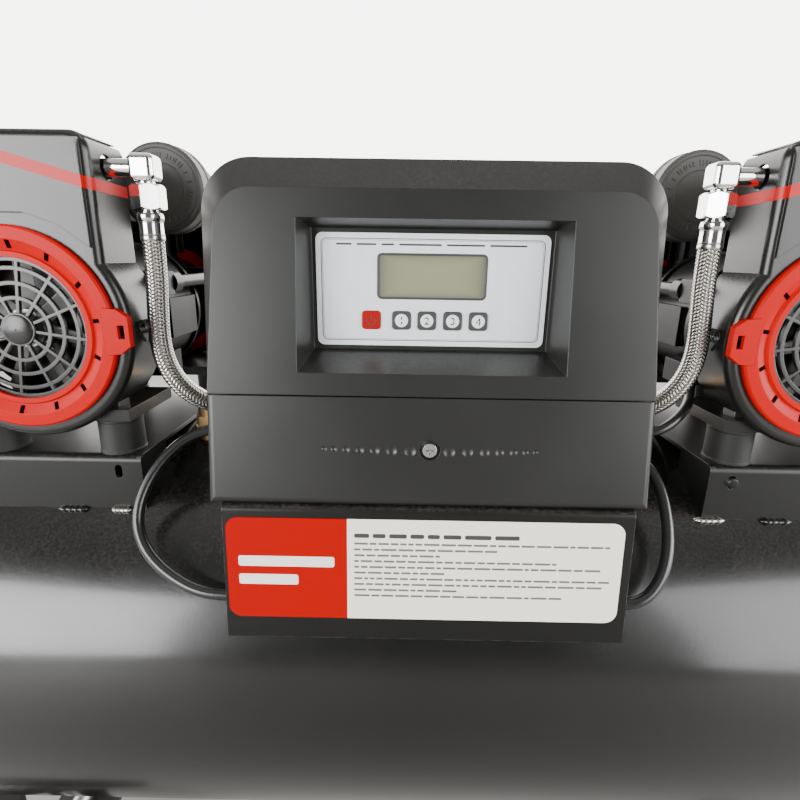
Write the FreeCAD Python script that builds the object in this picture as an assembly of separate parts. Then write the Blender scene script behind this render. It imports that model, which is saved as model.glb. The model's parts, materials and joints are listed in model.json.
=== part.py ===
import FreeCAD, Part
import math
import os

# Horizontal-tank oil-free air compressor with four motor pumps and a control box.
# Frame: millimetres, +Z up, +X along the tank, front (control panel) towards -Y,
# origin on the floor under the middle of the machine.

V = FreeCAD.Vector
X_AXIS = V(1, 0, 0)
Y_AXIS = V(0, 1, 0)
Z_AXIS = V(0, 0, 1)

# ---------------------------------------------------------------- driving dimensions
TANK_R = 205.0            # outside radius of the receiver
TANK_WALL = 5.0
TANK_Z = 410.0            # height of the tank axis
TANK_HALF = 610.0         # half length of the rolled shell
DISH_DEPTH = 85.0
DISH_KNUCKLE = 45.0

DECK_TOP = 620.0          # top face of the pump deck plates
DECK_T = 4.0
DECK_HALF_Y = 127.0
DECK_X0 = 240.0
DECK_X1 = 600.0
DECK_TAB = 47.0           # depth of the gusset tabs at the deck corners

PUMP_X = [-525.0, -315.0, 315.0, 525.0]
PUMP_Z = 727.0            # height of the pump shafts
SHAFT_R = 8.0
RUN_FIT = 0.08            # radial running clearance
BARREL_R = 66.0
BARREL_HALF = 45.0
CRANK_R = 58.0
CRANK_Y1 = 106.0
CYL_Y = 84.0              # distance of each cylinder axis from the motor's middle
BORE_R = 25.0
STROKE = 16.0
CYLINDER_FINS = 14
HEAD_Z0 = 91.0            # cylinder head, measured up from the shaft
HEAD_Z1 = 131.0
COWL_R = 87.0
COWL_HALF_X = 71.0
COWL_TOP = 141.0
COWL_Y0 = 88.0
COWL_FACE = 138.0
COWL_WALL = 3.0
RING_R = 77.0
MOUNT_X = 52.0
MOUNT_Y = 108.0
MOUNT_R = 18.5
MOUNT_H = 30.0
FOOT_T = 10.0
BOLT_R = 5.0
FOOT_TOP = DECK_TOP + MOUNT_H + FOOT_T - PUMP_Z    # measured up from the shaft
SIDE_PIPE_Z = 33.0
MANIFOLD_PIPE_Z = 111.0
FILTER_Z = 113.0
PORT_X = 100.0            # delivery elbow, sideways from the shaft
PORT_Y = 114.0
PORT_Z = 119.0
HOSE_D = 16.5
FERRULE_R = 8.6
CABLE_D = 9.0
LEAD_D = 8.5

FACE_SLOPE = 0.125        # run back per unit of height of the control box's leaning face
SEAM_Z = 692.0
SEAM_Y = -187.0
FACE_TOP = 828.0
BOX_BOTTOM = 614.0
BOX_TOP = 845.0
BOX_BACK = -95.0
BOX_HALF_X = 158.0
RIM_Y = -150.0
WALL = 2.5
LABEL_Y = -153.0          # front face of the fascia
FASCIA_T = 1.0
KEY_SIZE = 13.0
KEY_Z = 740.5
KEY_X = {"power_key": -43.2, "key_1": -21.3, "key_2": -2.9, "key_3": 15.8, "key_4": 34.4}

# dimples pressed each side of the terminal cover's screw, (distance, width)
DIMPLES = [(13.7, 7.6), (26.6, 7.0), (38.5, 6.4), (48.9, 5.7), (58.5, 5.0), (66.9, 4.2), (73.8, 3.5)]

BRACKET_HALF_X = 147.0
BRACKET_T = 3.0
SKIRT_TOP_Y = -200.0
SKIRT_BOTTOM_Z = 510.0
SKIRT_SLOPE = 0.07
LABEL_X = -2.0

WHEEL_X = -430.0
FEET_X = 430.0
TYRE_R = 95.0
RIM_R = 62.0
AXLE_R = 10.0
AXLE_HALF = 216.0
LEG_Y = 150.0
LEG_T = 5.0

MANIFOLD_Y = -66.2
MANIFOLD_Z = 653.2
SERVICE_Y = 60.0
SERVICE_Z = 656.0
LEVER_REACH = 41.0         # from the service block back to the ball valve's stem
OUTLET_R = 9.3
OUTLET_DEPTH = 14.0
GAUGE_X = -48.0


# ---------------------------------------------------------------- helpers
def box(x0, x1, y0, y1, z0, z1):
    return Part.makeBox(x1 - x0, y1 - y0, z1 - z0, V(x0, y0, z0))


def rod(radius, start, length, axis):
    return Part.makeCylinder(radius, length, V(*start), axis)


def tube(outer, inner, start, length, axis):
    return rod(outer, start, length, axis).cut(rod(inner, start, length, axis))


def hexagon(flats, start, length, axis, turn=0.0):
    """Hexagonal bar across-flats wide, along Z, Y or X."""
    radius = flats / math.sqrt(3.0)
    corners = []
    for k in range(7):
        angle = math.radians(60.0 * k + turn)
        corners.append(V(radius * math.cos(angle), radius * math.sin(angle), 0))
    bar = Part.Face(Part.makePolygon(corners)).extrude(V(0, 0, length))
    bar.Placement = FreeCAD.Placement(V(*start), FreeCAD.Rotation(Z_AXIS, axis))
    return bar


def fuse(shapes):
    whole = shapes[0].multiFuse(shapes[1:]) if len(shapes) > 1 else shapes[0]
    return whole.removeSplitter()


def prism(points, direction):
    return Part.Face(Part.makePolygon(points + [points[0]])).extrude(direction)


def turned(profile, axis):
    """Solid of revolution about an axis through the origin; profile is (radius, height)."""
    points = [V(r, 0, h) for r, h in profile]
    face = Part.Face(Part.makePolygon(points + [points[0]]))
    solid = face.revolve(V(0, 0, 0), Z_AXIS, 360)
    solid.Placement = FreeCAD.Placement(V(0, 0, 0), FreeCAD.Rotation(Z_AXIS, axis))
    return solid


def moved(shape, x=0.0, y=0.0, z=0.0):
    copy = shape.copy()
    copy.translate(V(x, y, z))
    return copy


def mirrored(shape, normal):
    return shape.mirror(V(0, 0, 0), normal)


def rounded_plate(width, height, radius, thickness):
    """Upright plate in the XZ plane, centred, its front face at y = 0 and its back at +y."""
    plate = box(-width / 2, width / 2, 0, thickness, -height / 2, height / 2)
    edges = []
    for edge in plate.Edges:
        ends = edge.Vertexes
        if abs(ends[0].Y - ends[1].Y) > thickness / 2:
            edges.append(edge)
    return plate.makeFillet(radius, edges)


def route_wire(points):
    """Straight runs joined by tangent arcs, each as large as its two runs allow."""
    points = [V(*p) for p in points]
    edges = []
    radii = []
    start = points[0]
    for k in range(1, len(points) - 1):
        back = points[k - 1] - points[k]
        ahead = points[k + 1] - points[k]
        turn = math.pi - back.getAngle(ahead)
        cut = 0.45 * min(back.Length, ahead.Length)
        radii.append(cut / math.tan(turn / 2))
        back.normalize()
        ahead.normalize()
        first = points[k] + back * cut
        last = points[k] + ahead * cut
        bisector = back + ahead
        bisector.normalize()
        centre = points[k] + bisector * (radii[-1] / math.cos(turn / 2))
        middle = centre - bisector * radii[-1]
        edges.append(Part.LineSegment(start, first).toShape())
        edges.append(Part.Arc(first, middle, last).toShape())
        start = last
    edges.append(Part.LineSegment(start, points[-1]).toShape())
    return Part.Wire(edges), radii


def cord(name, points, diameter):
    wire, radii = route_wire(points)
    direction = V(*points[1]) - V(*points[0])
    circle = Part.Circle(V(*points[0]), direction, diameter / 2).toShape()
    profile = Part.Face(Part.Wire([circle]))
    solid = wire.makePipe(profile)
    ratio = solid.Volume / (math.pi * diameter ** 2 / 4 * wire.Length)
    print(name, "length %.0f" % wire.Length, "volume ratio %.4f" % ratio,
          "radii", " ".join("%.0f" % r for r in radii))
    return solid


def save(name, shapes):
    shape = shapes[0] if len(shapes) == 1 else Part.makeCompound(shapes)
    shape.exportStep("parts/%s.step" % name)
    solids = shape.Solids
    if not shape.isValid() or not solids:
        print("INVALID", name)
    print(name, "solids", len(solids), "volume %.0f" % shape.Volume)


# ---------------------------------------------------------------- tank and running gear
def dish_face(inset):
    """Half outline of a dished end in the XZ plane, its open edge at x = TANK_HALF."""
    knuckle_x = TANK_HALF
    knuckle_z = TANK_R - DISH_KNUCKLE
    reach = TANK_HALF + DISH_DEPTH
    gap = DISH_DEPTH - DISH_KNUCKLE
    crown = (knuckle_z ** 2 + gap ** 2) / (2 * gap) + DISH_KNUCKLE
    centre_x = reach - crown
    slope = math.atan2(knuckle_z, knuckle_x - centre_x)
    small = DISH_KNUCKLE - inset
    large = crown - inset

    def on_knuckle(angle):
        return V(knuckle_x + small * math.cos(angle), 0, knuckle_z + small * math.sin(angle))

    def on_crown(angle):
        return V(centre_x + large * math.cos(angle), 0, large * math.sin(angle))

    knuckle = Part.Arc(on_knuckle(math.pi / 2), on_knuckle((math.pi / 2 + slope) / 2), on_knuckle(slope))
    dome = Part.Arc(on_knuckle(slope), on_crown(slope / 2), on_crown(0))
    base = V(TANK_HALF, 0, 0)
    edges = [
        Part.LineSegment(base, on_knuckle(math.pi / 2)).toShape(),
        knuckle.toShape(),
        dome.toShape(),
        Part.LineSegment(on_crown(0), base).toShape(),
    ]
    return Part.Face(Part.Wire(edges))


def tank_outer():
    return rod(TANK_R, (-TANK_HALF, 0, TANK_Z), 2 * TANK_HALF, X_AXIS)


SOCKETS = [(-62.0, MANIFOLD_Y), (62.0, MANIFOLD_Y), (0.0, SERVICE_Y), (-212.0, -40.0), (212.0, -40.0)]
SOCKET_R = 14.0
SLOT_X = 260.0
SLOT_Z = 605.5
DRAIN_R = 12.0


def make_tank():
    shell = tube(TANK_R, TANK_R - TANK_WALL, (-TANK_HALF, 0, TANK_Z), 2 * TANK_HALF, X_AXIS)
    for x, y in SOCKETS:
        shell = shell.cut(rod(SOCKET_R, (x, y, TANK_Z + TANK_R / 2), TANK_R, Z_AXIS))
    shell = shell.cut(rod(DRAIN_R, (0, 0, TANK_Z - TANK_R - 20), 40, Z_AXIS))
    end = dish_face(0).revolve(V(0, 0, 0), X_AXIS, 360)
    end = end.cut(dish_face(TANK_WALL).revolve(V(0, 0, 0), X_AXIS, 360))
    end = moved(end, z=TANK_Z)
    save("tank", [shell, end, mirrored(end, X_AXIS)])


def make_decks():
    skirt_bottom = TANK_Z + 100
    outer = box(DECK_X0, DECK_X1, -DECK_HALF_Y, DECK_HALF_Y, skirt_bottom, DECK_TOP)
    full = DECK_X1 - DECK_X0 - 1
    long_edges = [e for e in outer.Edges if e.Length > full and e.CenterOfMass.z > DECK_TOP - 1]
    outer = outer.makeFillet(6.0, long_edges)
    inner = box(DECK_X0 - 1, DECK_X1 + 1, DECK_T - DECK_HALF_Y, DECK_HALF_Y - DECK_T,
                skirt_bottom - 1, DECK_TOP - DECK_T)
    deck = outer.cut(inner)
    tabs = []
    for side in (-1, 1):
        for x in (DECK_X0, DECK_X1 - DECK_T):
            y0 = -DECK_HALF_Y + 1 if side < 0 else DECK_HALF_Y - DECK_TAB
            tabs.append(box(x, x + DECK_T, y0, y0 + DECK_TAB - 1, skirt_bottom, DECK_TOP - 1))
    deck = fuse([deck] + tabs)
    deck = deck.cut(tank_outer())
    for centre in PUMP_X[2:]:
        for dx in (-MOUNT_X, MOUNT_X):
            for dy in (-MOUNT_Y, MOUNT_Y):
                deck = deck.cut(rod(BOLT_R, (centre + dx, dy, DECK_TOP - 10), 20, Z_AXIS))
    for y in (-DECK_HALF_Y - 1, DECK_HALF_Y - 9):
        slot = box(SLOT_X - 3, SLOT_X + 3, y, y + 10, SLOT_Z - 3, SLOT_Z + 3)
        for z in (SLOT_Z - 3, SLOT_Z + 3):
            slot = slot.fuse(rod(3, (SLOT_X, y, z), 10, Y_AXIS))
        deck = deck.cut(slot)
    save("pump_decks", [deck, mirrored(deck, X_AXIS)])


def make_legs():
    def leg(x, bottom, feet):
        half = 40
        outline = box(x - half, x + half, -LEG_Y, LEG_Y, bottom, TANK_Z - 80)
        inside = box(x - half - 1, x + half + 1, LEG_T - LEG_Y, LEG_Y - LEG_T, bottom + LEG_T, TANK_Z)
        frame = outline.cut(inside).cut(tank_outer())
        if feet:
            for y in (-110, 110):
                frame = frame.cut(rod(BOLT_R, (x, y, bottom - 1), 10, Z_AXIS))
        else:
            frame = frame.cut(rod(AXLE_R, (x, -LEG_Y - 1, TYRE_R), 2 * LEG_Y + 2, Y_AXIS))
        return frame

    save("legs", [leg(WHEEL_X, 75.0, False), leg(FEET_X, 40.0, True)])
    foot = turned([(0, 4), (6, 4), (6, 0), (22, 0), (27, 4), (23, 40), (BOLT_R, 40), (BOLT_R, 48), (9, 48),
                   (9, 52), (0, 52)], Z_AXIS)
    foot = foot.cut(rod(BOLT_R + 1, (0, 0, 0), 4, Z_AXIS))
    foot = foot.cut(tube(12, BOLT_R, (0, 0, 40), LEG_T, Z_AXIS))
    save("rubber_feet", [moved(foot, FEET_X, -110), moved(foot, FEET_X, 110)])


def make_wheels():
    axle = rod(AXLE_R, (WHEEL_X, -AXLE_HALF, TYRE_R), 2 * AXLE_HALF, Y_AXIS)
    for y in (-AXLE_HALF, AXLE_HALF - 5):
        axle = axle.fuse(rod(15, (WHEEL_X, y, TYRE_R), 5, Y_AXIS))
    save("axle", [axle.removeSplitter()])
    bore = AXLE_R + RUN_FIT
    rim = turned([(bore, -22), (22, -22), (24, -8), (52, -5), (54, -18), (RIM_R, -18), (RIM_R, 18), (54, 18),
                  (52, 5), (24, 8), (22, 22), (bore, 22)], Y_AXIS)
    for k in range(5):
        angle = math.radians(72 * k + 18)
        hole = rod(8, (38 * math.cos(angle), -15, 38 * math.sin(angle)), 30, Y_AXIS)
        rim = rim.cut(hole)
    half_tyre = [(RIM_R, -18), (70, -21), (88, -20), (93, -15), (TYRE_R, -6)]
    tyre = turned(half_tyre + [(r, -h) for r, h in reversed(half_tyre)], Y_AXIS)
    for name, y in (("front", -187.5), ("rear", 187.5)):
        save("wheel_rim_" + name, [moved(rim, WHEEL_X, y, TYRE_R)])
        save("tyre_" + name, [moved(tyre, WHEEL_X, y, TYRE_R)])


def make_handle():
    half = 90
    points = [(630, -half, 540), (648, -half, 575), (670, -half, 625), (670, -half + 42, 640)]
    points += [(x, -y, z) for x, y, z in reversed(points)]
    bar = cord("handle", points, 22.0)
    end = dish_face(0).revolve(V(0, 0, 0), X_AXIS, 360)
    bar = bar.cut(moved(end, z=TANK_Z)).cut(tank_outer())
    bar = max(bar.Solids, key=lambda s: s.Volume)
    save("handle", [bar])


# ---------------------------------------------------------------- one pump, shaft on the Y axis
def both_ends(front):
    """A front piece and its mirror image at the rear."""
    return [front, mirrored(front, Y_AXIS)]


def crank_block():
    """Front crankcase with its cylinder, foot plate and pipe lug; front is -Y."""
    y0 = -CRANK_Y1
    length = CRANK_Y1 - BARREL_HALF
    shapes = [rod(CRANK_R, (0, y0, 0), length, Y_AXIS)]
    shapes.append(rod(BORE_R + 5, (0, -CYL_Y, 45), HEAD_Z0 - 45, Z_AXIS))
    for k in range(CYLINDER_FINS):
        fin = box(BORE_R + 3, BORE_R + 13, -1.5, 1.5, CRANK_R + 1, HEAD_Z0)
        fin.rotate(V(0, 0, 0), Z_AXIS, (k + 0.5) * 360 / CYLINDER_FINS)
        shapes.append(moved(fin, y=-CYL_Y))
    shapes.append(box(-70, 70, -126, -48, FOOT_TOP - FOOT_T, FOOT_TOP))
    shapes.append(box(-30, 30, -104, -50, FOOT_TOP - 4, -46))
    shapes.append(box(40, 90, -82, -62, SIDE_PIPE_Z - 10, SIDE_PIPE_Z + 10))
    block = fuse(shapes)
    block = block.cut(rod(CRANK_R - 8, (0, y0, 0), length - 7, Y_AXIS))
    block = block.cut(rod(BORE_R, (0, -CYL_Y, 20), HEAD_Z0, Z_AXIS))
    block = block.cut(rod(SHAFT_R + RUN_FIT, (0, y0, 0), length, Y_AXIS))
    for x in (-MOUNT_X, MOUNT_X):
        block = block.cut(rod(BOLT_R, (x, -MOUNT_Y, FOOT_TOP - FOOT_T), FOOT_T, Z_AXIS))
    return block


def cylinder_head():
    head = box(-48, 48, -124, -56, HEAD_Z0, HEAD_Z1)
    for k in range(7):
        x = -39 + 13 * k
        head = head.cut(box(x - 3, x + 3, -125, -55, HEAD_Z1 - 7, HEAD_Z1 + 1))
    head = head.cut(rod(BORE_R - 2, (0, -CYL_Y, HEAD_Z0), 16, Z_AXIS))
    return head


def pump_casing():
    barrel = rod(BARREL_R, (0, -BARREL_HALF, 0), 2 * BARREL_HALF, Y_AXIS)
    shapes = [barrel]
    for y in (-BARREL_HALF, BARREL_HALF - 5):
        shapes.append(rod(BARREL_R + 3, (0, y, 0), 5, Y_AXIS))
    shapes.append(box(BARREL_R - 12, BARREL_R + 4, -30, 30, -22, 16))
    shapes.append(box(44, 66, -40, -8, -58, -36))
    barrel = fuse(shapes).cut(rod(BARREL_R - 6, (0, -BARREL_HALF, 0), 2 * BARREL_HALF, Y_AXIS))
    cover = tube(CRANK_R, SHAFT_R + RUN_FIT, (0, -CRANK_Y1 - 3, 0), 3, Y_AXIS)
    cover = cover.cut(rod(BORE_R + 5, (0, -CYL_Y, 45), 20, Z_AXIS))
    return [barrel] + both_ends(crank_block()) + both_ends(cover) + both_ends(cylinder_head())


def cowl():
    """Front cowl: round fan housing below, squared head cover above, open at the back."""
    depth = COWL_FACE - COWL_Y0
    cap = box(-COWL_HALF_X, COWL_HALF_X, -COWL_FACE, -COWL_Y0, 0, COWL_TOP)
    along = [e for e in cap.Edges if abs(e.Vertexes[0].Y - e.Vertexes[-1].Y) > 1]
    top_edges = [e for e in along if e.CenterOfMass.z > COWL_TOP - 1]
    cap = cap.makeFillet(14.0, top_edges)
    outer = fuse([rod(COWL_R, (0, -COWL_FACE, 0), depth, Y_AXIS), cap])
    face_edges = [e for e in outer.Edges if abs(e.BoundBox.YMax + COWL_FACE) < 0.01]
    outer = outer.makeFillet(6.0, face_edges)
    right_half = [(66, COWL_TOP - 6), (66, 61), (44, 77), (20, 85)]
    outline = right_half + [(-x, z) for x, z in reversed(right_half)]
    panel = prism([V(x, -COWL_FACE - 3, z) for x, z in outline], V(0, 6, 0))
    inner_cap = box(COWL_WALL - COWL_HALF_X, COWL_HALF_X - COWL_WALL, COWL_WALL - COWL_FACE, -COWL_Y0,
                    0, COWL_TOP - COWL_WALL)
    inner = rod(COWL_R - COWL_WALL, (0, COWL_WALL - COWL_FACE, 0), depth, Y_AXIS).fuse(inner_cap)
    shell = fuse([outer, panel]).cut(inner)
    shell = shell.cut(rod(RING_R - 10, (0, -COWL_FACE - 5, 0), 20, Y_AXIS))
    shell = shell.cut(box(-75, 75, -131, -80, -110, FOOT_TOP + 7))
    shell = shell.cut(rod(9, (COWL_HALF_X - 10, -PORT_Y, PORT_Z), 20, X_AXIS))
    return shell


def fan_guard():
    """Flat grille of rings and spokes inside the red ring."""
    y = -138
    shapes = [rod(13, (0, y, 0), 3, Y_AXIS)]
    for radius in (24, 35, 46):
        shapes.append(tube(radius + 1.5, radius - 1.5, (0, y, 0), 3, Y_AXIS))
    shapes.append(tube(54, 51, (0, y, 0), 4, Y_AXIS))
    for k in range(12):
        spoke = box(10, 53, y, y + 3, -1.2, 1.2)
        spoke.rotate(V(0, 0, 0), Y_AXIS, 30 * k + 8)
        shapes.append(spoke)
    return fuse(shapes)


def fan_ring():
    """Red ring round the grille, with a clip at each side."""
    # the turned profile runs along +Y: height 0 is the cowl's front plane
    ring = turned([(54, -4), (66.8, -4), (66.8, 0), (RING_R, 0), (RING_R, 3.5), (RING_R - 1.5, 4.8), (67, 5),
                   (59, 1.2), (58, 3), (54, 3)], V(0, -1, 0))
    ring = moved(ring, y=-COWL_FACE)
    front = -COWL_FACE - 6
    tongue = [(RING_R - 8, -18), (RING_R + 3, -17), (RING_R + 11, -11)]
    tongue += [(x, -z) for x, z in reversed(tongue)]
    clip = prism([V(x, front, z) for x, z in tongue], V(0, 6, 0))
    clip = clip.cut(box(RING_R + 2.5, RING_R + 7.5, front - 1, front + 5, -5, 5))
    whole = fuse([ring, clip, mirrored(clip, X_AXIS)])
    return whole


def rotor():
    end = 131.0
    shapes = [rod(SHAFT_R, (0, -end, 0), 2 * end, Y_AXIS), rod(29.5, (0, -32, 0), 64, Y_AXIS)]
    shapes.append(rod(17, (STROKE / 2, -74, 0), 12, Y_AXIS))
    shapes.append(rod(17, (-STROKE / 2, 62, 0), 12, Y_AXIS))
    for side in (-1, 1):
        shapes.append(rod(15, (0, side * 122 - 8, 0), 16, Y_AXIS))
        for k in range(7):
            blade = box(-6, 6, side * 122 - 1, side * 122 + 1, 12, 57)
            blade.rotate(V(0, side * 122, 0), Z_AXIS, 28)
            blade.rotate(V(0, 0, 0), Y_AXIS, 360.0 / 7 * k)
            shapes.append(blade)
    return fuse(shapes)


def piston():
    """Wobble piston: crown in the cylinder, rod and eye round the shaft; front one."""
    crown = rod(BORE_R - RUN_FIT, (0, -CYL_Y, 69), 8, Z_AXIS)
    stem = box(-6, 6, -CYL_Y - 4, -CYL_Y + 4, 20, 70)
    eye = rod(24, (0, -CYL_Y - 5, 0), 10, Y_AXIS)
    whole = fuse([crown, stem, eye])
    return whole.cut(rod(18, (0, -CYL_Y - 5, 0), 10, Y_AXIS))


def stator():
    core = rod(BARREL_R - 6, (0, -34, 0), 68, Y_AXIS)
    winding = rod(50, (0, -42, 0), 84, Y_AXIS)
    return fuse([core, winding]).cut(rod(30.3, (0, -43, 0), 86, Y_AXIS))


def intake_filter():
    canister = turned([(0, 0), (35, 0), (36, 0.6), (37.5, 2), (37.5, 16), (38.2, 17), (38.2, 22), (36, 24),
                       (31, 25), (31, 57), (28, 60), (0, 60)], Y_AXIS)
    return moved(canister, 80, -48, FILTER_Z)


def crossover_pipes():
    manifold = rod(10, (0, -56, MANIFOLD_PIPE_Z), 112, Y_AXIS)
    neck = rod(8, (0, -14, MANIFOLD_PIPE_Z), 60, X_AXIS)
    manifold = fuse([manifold, neck]).cut(intake_filter())
    manifold = max(manifold.Solids, key=lambda s: s.Volume)
    side = rod(6, (83, -62, SIDE_PIPE_Z), 124, Y_AXIS)
    knobs = [rod(10, (83, y, SIDE_PIPE_Z), 14, Y_AXIS) for y in (-62, 48)]
    return [manifold, fuse([side] + knobs)]


def rubber_mount():
    h = MOUNT_H
    slim = MOUNT_R - 0.6
    return turned([(BOLT_R, 0), (MOUNT_R, 0), (MOUNT_R, 2), (slim, 2.8), (slim, h - 2.8), (MOUNT_R, h - 2),
                   (MOUNT_R, h), (BOLT_R, h)], Z_AXIS)


def mount_bolt():
    """Bolt through foot, mount and deck; z = 0 is the deck's top."""
    top = MOUNT_H + FOOT_T
    shank = rod(BOLT_R, (0, 0, -DECK_T - 10), top + DECK_T + 10, Z_AXIS)
    head = hexagon(16, (0, 0, top), 7, Z_AXIS)
    nut = hexagon(16, (0, 0, -DECK_T - 8), 8, Z_AXIS)
    return fuse([shank, head, nut])


def delivery_fitting():
    """Chrome elbow, union nut and ferrule at the inner side of the front head."""
    pipe = rod(6.5, (48, -PORT_Y, PORT_Z), PORT_X - 48, X_AXIS)
    half = 9.5
    block = box(PORT_X - half, PORT_X + half, -PORT_Y - half, -PORT_Y + half, PORT_Z - half, PORT_Z + half)
    block = block.makeFillet(4.0, block.Edges)
    base = PORT_Z - 48                   # where the hose begins
    neck = rod(6, (PORT_X, -PORT_Y, base), 44, Z_AXIS)
    nut_turned = turned([(0, 0), (11, 0), (12.7, 1.7), (12.7, 16.3), (11, 18), (0, 18)], Z_AXIS)
    nut = hexagon(22, (0, 0, 0), 18, Z_AXIS, 30).common(nut_turned)
    nut = moved(nut, PORT_X, -PORT_Y, base + 18.5)
    sleeve = turned([(0, 0), (FERRULE_R, 0), (FERRULE_R, 10), (9.2, 11), (9.6, 12.5), (9.6, 14.5), (9.2, 16),
                     (7.5, 17.5), (0, 17.5)], Z_AXIS)
    return fuse([pipe, block, neck, nut, moved(sleeve, PORT_X, -PORT_Y, base)])


def make_pumps():
    casing = pump_casing()
    cowls = both_ends(cowl()) + both_ends(fan_guard())
    ring = both_ends(fan_ring())
    spinning = rotor()
    slider = piston()
    shared = {"fan_rings": [], "stators": [], "intake_filters": [], "crossover_pipes": [],
              "hose_fittings": []}
    for number, centre in enumerate(PUMP_X, 1):
        flip = centre > 0

        def placed(shape):
            turned_over = mirrored(shape, X_AXIS) if flip else shape
            return moved(turned_over, centre, 0, PUMP_Z)

        save("pump_%d_casing" % number, [placed(s) for s in casing])
        save("pump_%d_cowls" % number, [placed(s) for s in cowls])
        save("pump_%d_rotor" % number, [placed(spinning)])
        save("pump_%d_piston_front" % number, [placed(slider)])
        save("pump_%d_piston_rear" % number, [placed(mirrored(slider, Y_AXIS))])
        shared["fan_rings"] += [placed(s) for s in ring]
        shared["stators"].append(placed(stator()))
        shared["intake_filters"].append(placed(intake_filter()))
        shared["crossover_pipes"] += [placed(s) for s in crossover_pipes()]
        shared["hose_fittings"].append(placed(delivery_fitting()))
    mounts = []
    bolts = []
    for centre in PUMP_X:
        for dx in (-MOUNT_X, MOUNT_X):
            for y in (-MOUNT_Y, MOUNT_Y):
                mounts.append(moved(rubber_mount(), centre + dx, y, DECK_TOP))
                bolts.append(moved(mount_bolt(), centre + dx, y, DECK_TOP))
    save("rubber_mounts", mounts)
    return shared, bolts


# ---------------------------------------------------------------- air fittings on the tank
def make_fittings():
    manifold = [rod(13, (-84, MANIFOLD_Y, MANIFOLD_Z), 168, X_AXIS)]
    for x, y in SOCKETS[:2]:
        manifold.append(rod(SOCKET_R, (x, y, TANK_Z + 185), MANIFOLD_Z - TANK_Z - 185, Z_AXIS))
    for side in (-1, 1):
        start = -98 if side < 0 else 82
        manifold.append(hexagon(27, (start, MANIFOLD_Y, MANIFOLD_Z), 16, X_AXIS))
        start = -110 if side < 0 else 98
        manifold.append(rod(FERRULE_R, (start, MANIFOLD_Y, MANIFOLD_Z), 12, X_AXIS))
    manifold = fuse(manifold)
    manifold = manifold.cut(rod(7, (-78, MANIFOLD_Y, MANIFOLD_Z), 156, X_AXIS))
    for x, y in SOCKETS[:2]:
        manifold = manifold.cut(rod(7, (x, y, TANK_Z + 180), MANIFOLD_Z - TANK_Z - 180, Z_AXIS))
    y, z = SERVICE_Y, SERVICE_Z
    service = [rod(SOCKET_R, (0, y, TANK_Z + 185), z - TANK_Z - 185, Z_AXIS),
               box(-16, 16, y - 16, y + 16, z - 16, z + 16), rod(13, (0, y + 10, z), 52, Y_AXIS),
               hexagon(25, (0, y + 16, z), 12, Y_AXIS), hexagon(25, (0, y + 54, z), OUTLET_DEPTH, Y_AXIS),
               rod(4, (0, y + LEVER_REACH, z), 26, Z_AXIS), rod(8, (0, y, z + 12), 30, Z_AXIS),
               hexagon(17, (0, y, z + 16), 8, Z_AXIS), rod(6, (GAUGE_X, y, z), -GAUGE_X, X_AXIS),
               rod(9, (GAUGE_X, y - 9, z), 21, Y_AXIS), Part.makeTorus(8, 1.2, V(0, y, z + 50), X_AXIS)]
    service = fuse(service)
    service = service.cut(rod(OUTLET_R, (0, y + 54, z), OUTLET_DEPTH, Y_AXIS))
    gauge = turned([(0, 0), (24, 0), (26, 2), (26, 22), (23, 22), (23, 19), (0, 19)], Y_AXIS)
    gauge = moved(gauge, GAUGE_X, y + 12, z)
    checks = []
    for x, cy in SOCKETS[3:]:
        stack = [rod(SOCKET_R, (x, cy, TANK_Z + 190), 20, Z_AXIS),
                 hexagon(24, (x, cy, TANK_Z + 209), 12, Z_AXIS)]
        stack.append(rod(11, (x, cy, TANK_Z + 220), 14, Z_AXIS))
        checks.append(fuse(stack))
    drain = [rod(DRAIN_R, (0, 0, TANK_Z - TANK_R - 10), 18, Z_AXIS),
             hexagon(14, (0, 0, TANK_Z - TANK_R - 26), 17, Z_AXIS)]
    drain.append(box(-14, 14, -2, 2, TANK_Z - TANK_R - 34, TANK_Z - TANK_R - 25))
    save("tank_fittings", [manifold, service, gauge] + checks + [fuse(drain)])
    pivot_y = y + LEVER_REACH
    lever = tube(8, 4 + RUN_FIT, (0, pivot_y, z + 19), 4, Z_AXIS)
    arm = box(-7, 7, pivot_y + 6, pivot_y + 68, z + 19, z + 22)
    upright_edges = [e for e in arm.Edges if abs(e.Vertexes[0].Z - e.Vertexes[-1].Z) > 1]
    tip = [e for e in upright_edges if e.CenterOfMass.y > pivot_y + 60]
    save("valve_lever", [fuse([lever, arm.makeFillet(6.0, tip)])])


# ---------------------------------------------------------------- control box
def outline_wire(half_bottom, half_top, bottom, shoulder, top, radius, y_of):
    """Closed outline, straight sides and rounded top corners, on the sheet y = y_of(z)."""
    def at(x, z):
        return V(x, y_of(z), z)

    def corner(side):
        cx = half_top - radius
        cz = top - radius
        start = at(side * half_top, cz)
        angle = math.pi / 4
        middle = at(side * (cx + radius * math.cos(angle)), cz + radius * math.sin(angle))
        end = at(side * cx, top)
        return start, middle, end

    right = corner(1)
    left = corner(-1)
    edges = [
        Part.LineSegment(at(-half_bottom, bottom), at(half_bottom, bottom)).toShape(),
        Part.LineSegment(at(half_bottom, bottom), right[0]).toShape(),
        Part.Arc(*right).toShape(),
        Part.LineSegment(right[2], left[2]).toShape(),
        Part.Arc(left[2], left[1], left[0]).toShape(),
        Part.LineSegment(left[0], at(-half_bottom, bottom)).toShape(),
    ]
    return Part.Wire(edges)


def lean(offset):
    return lambda z: SEAM_Y + offset + FACE_SLOPE * (z - SEAM_Z)


def upright(y):
    return lambda z: y


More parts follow.
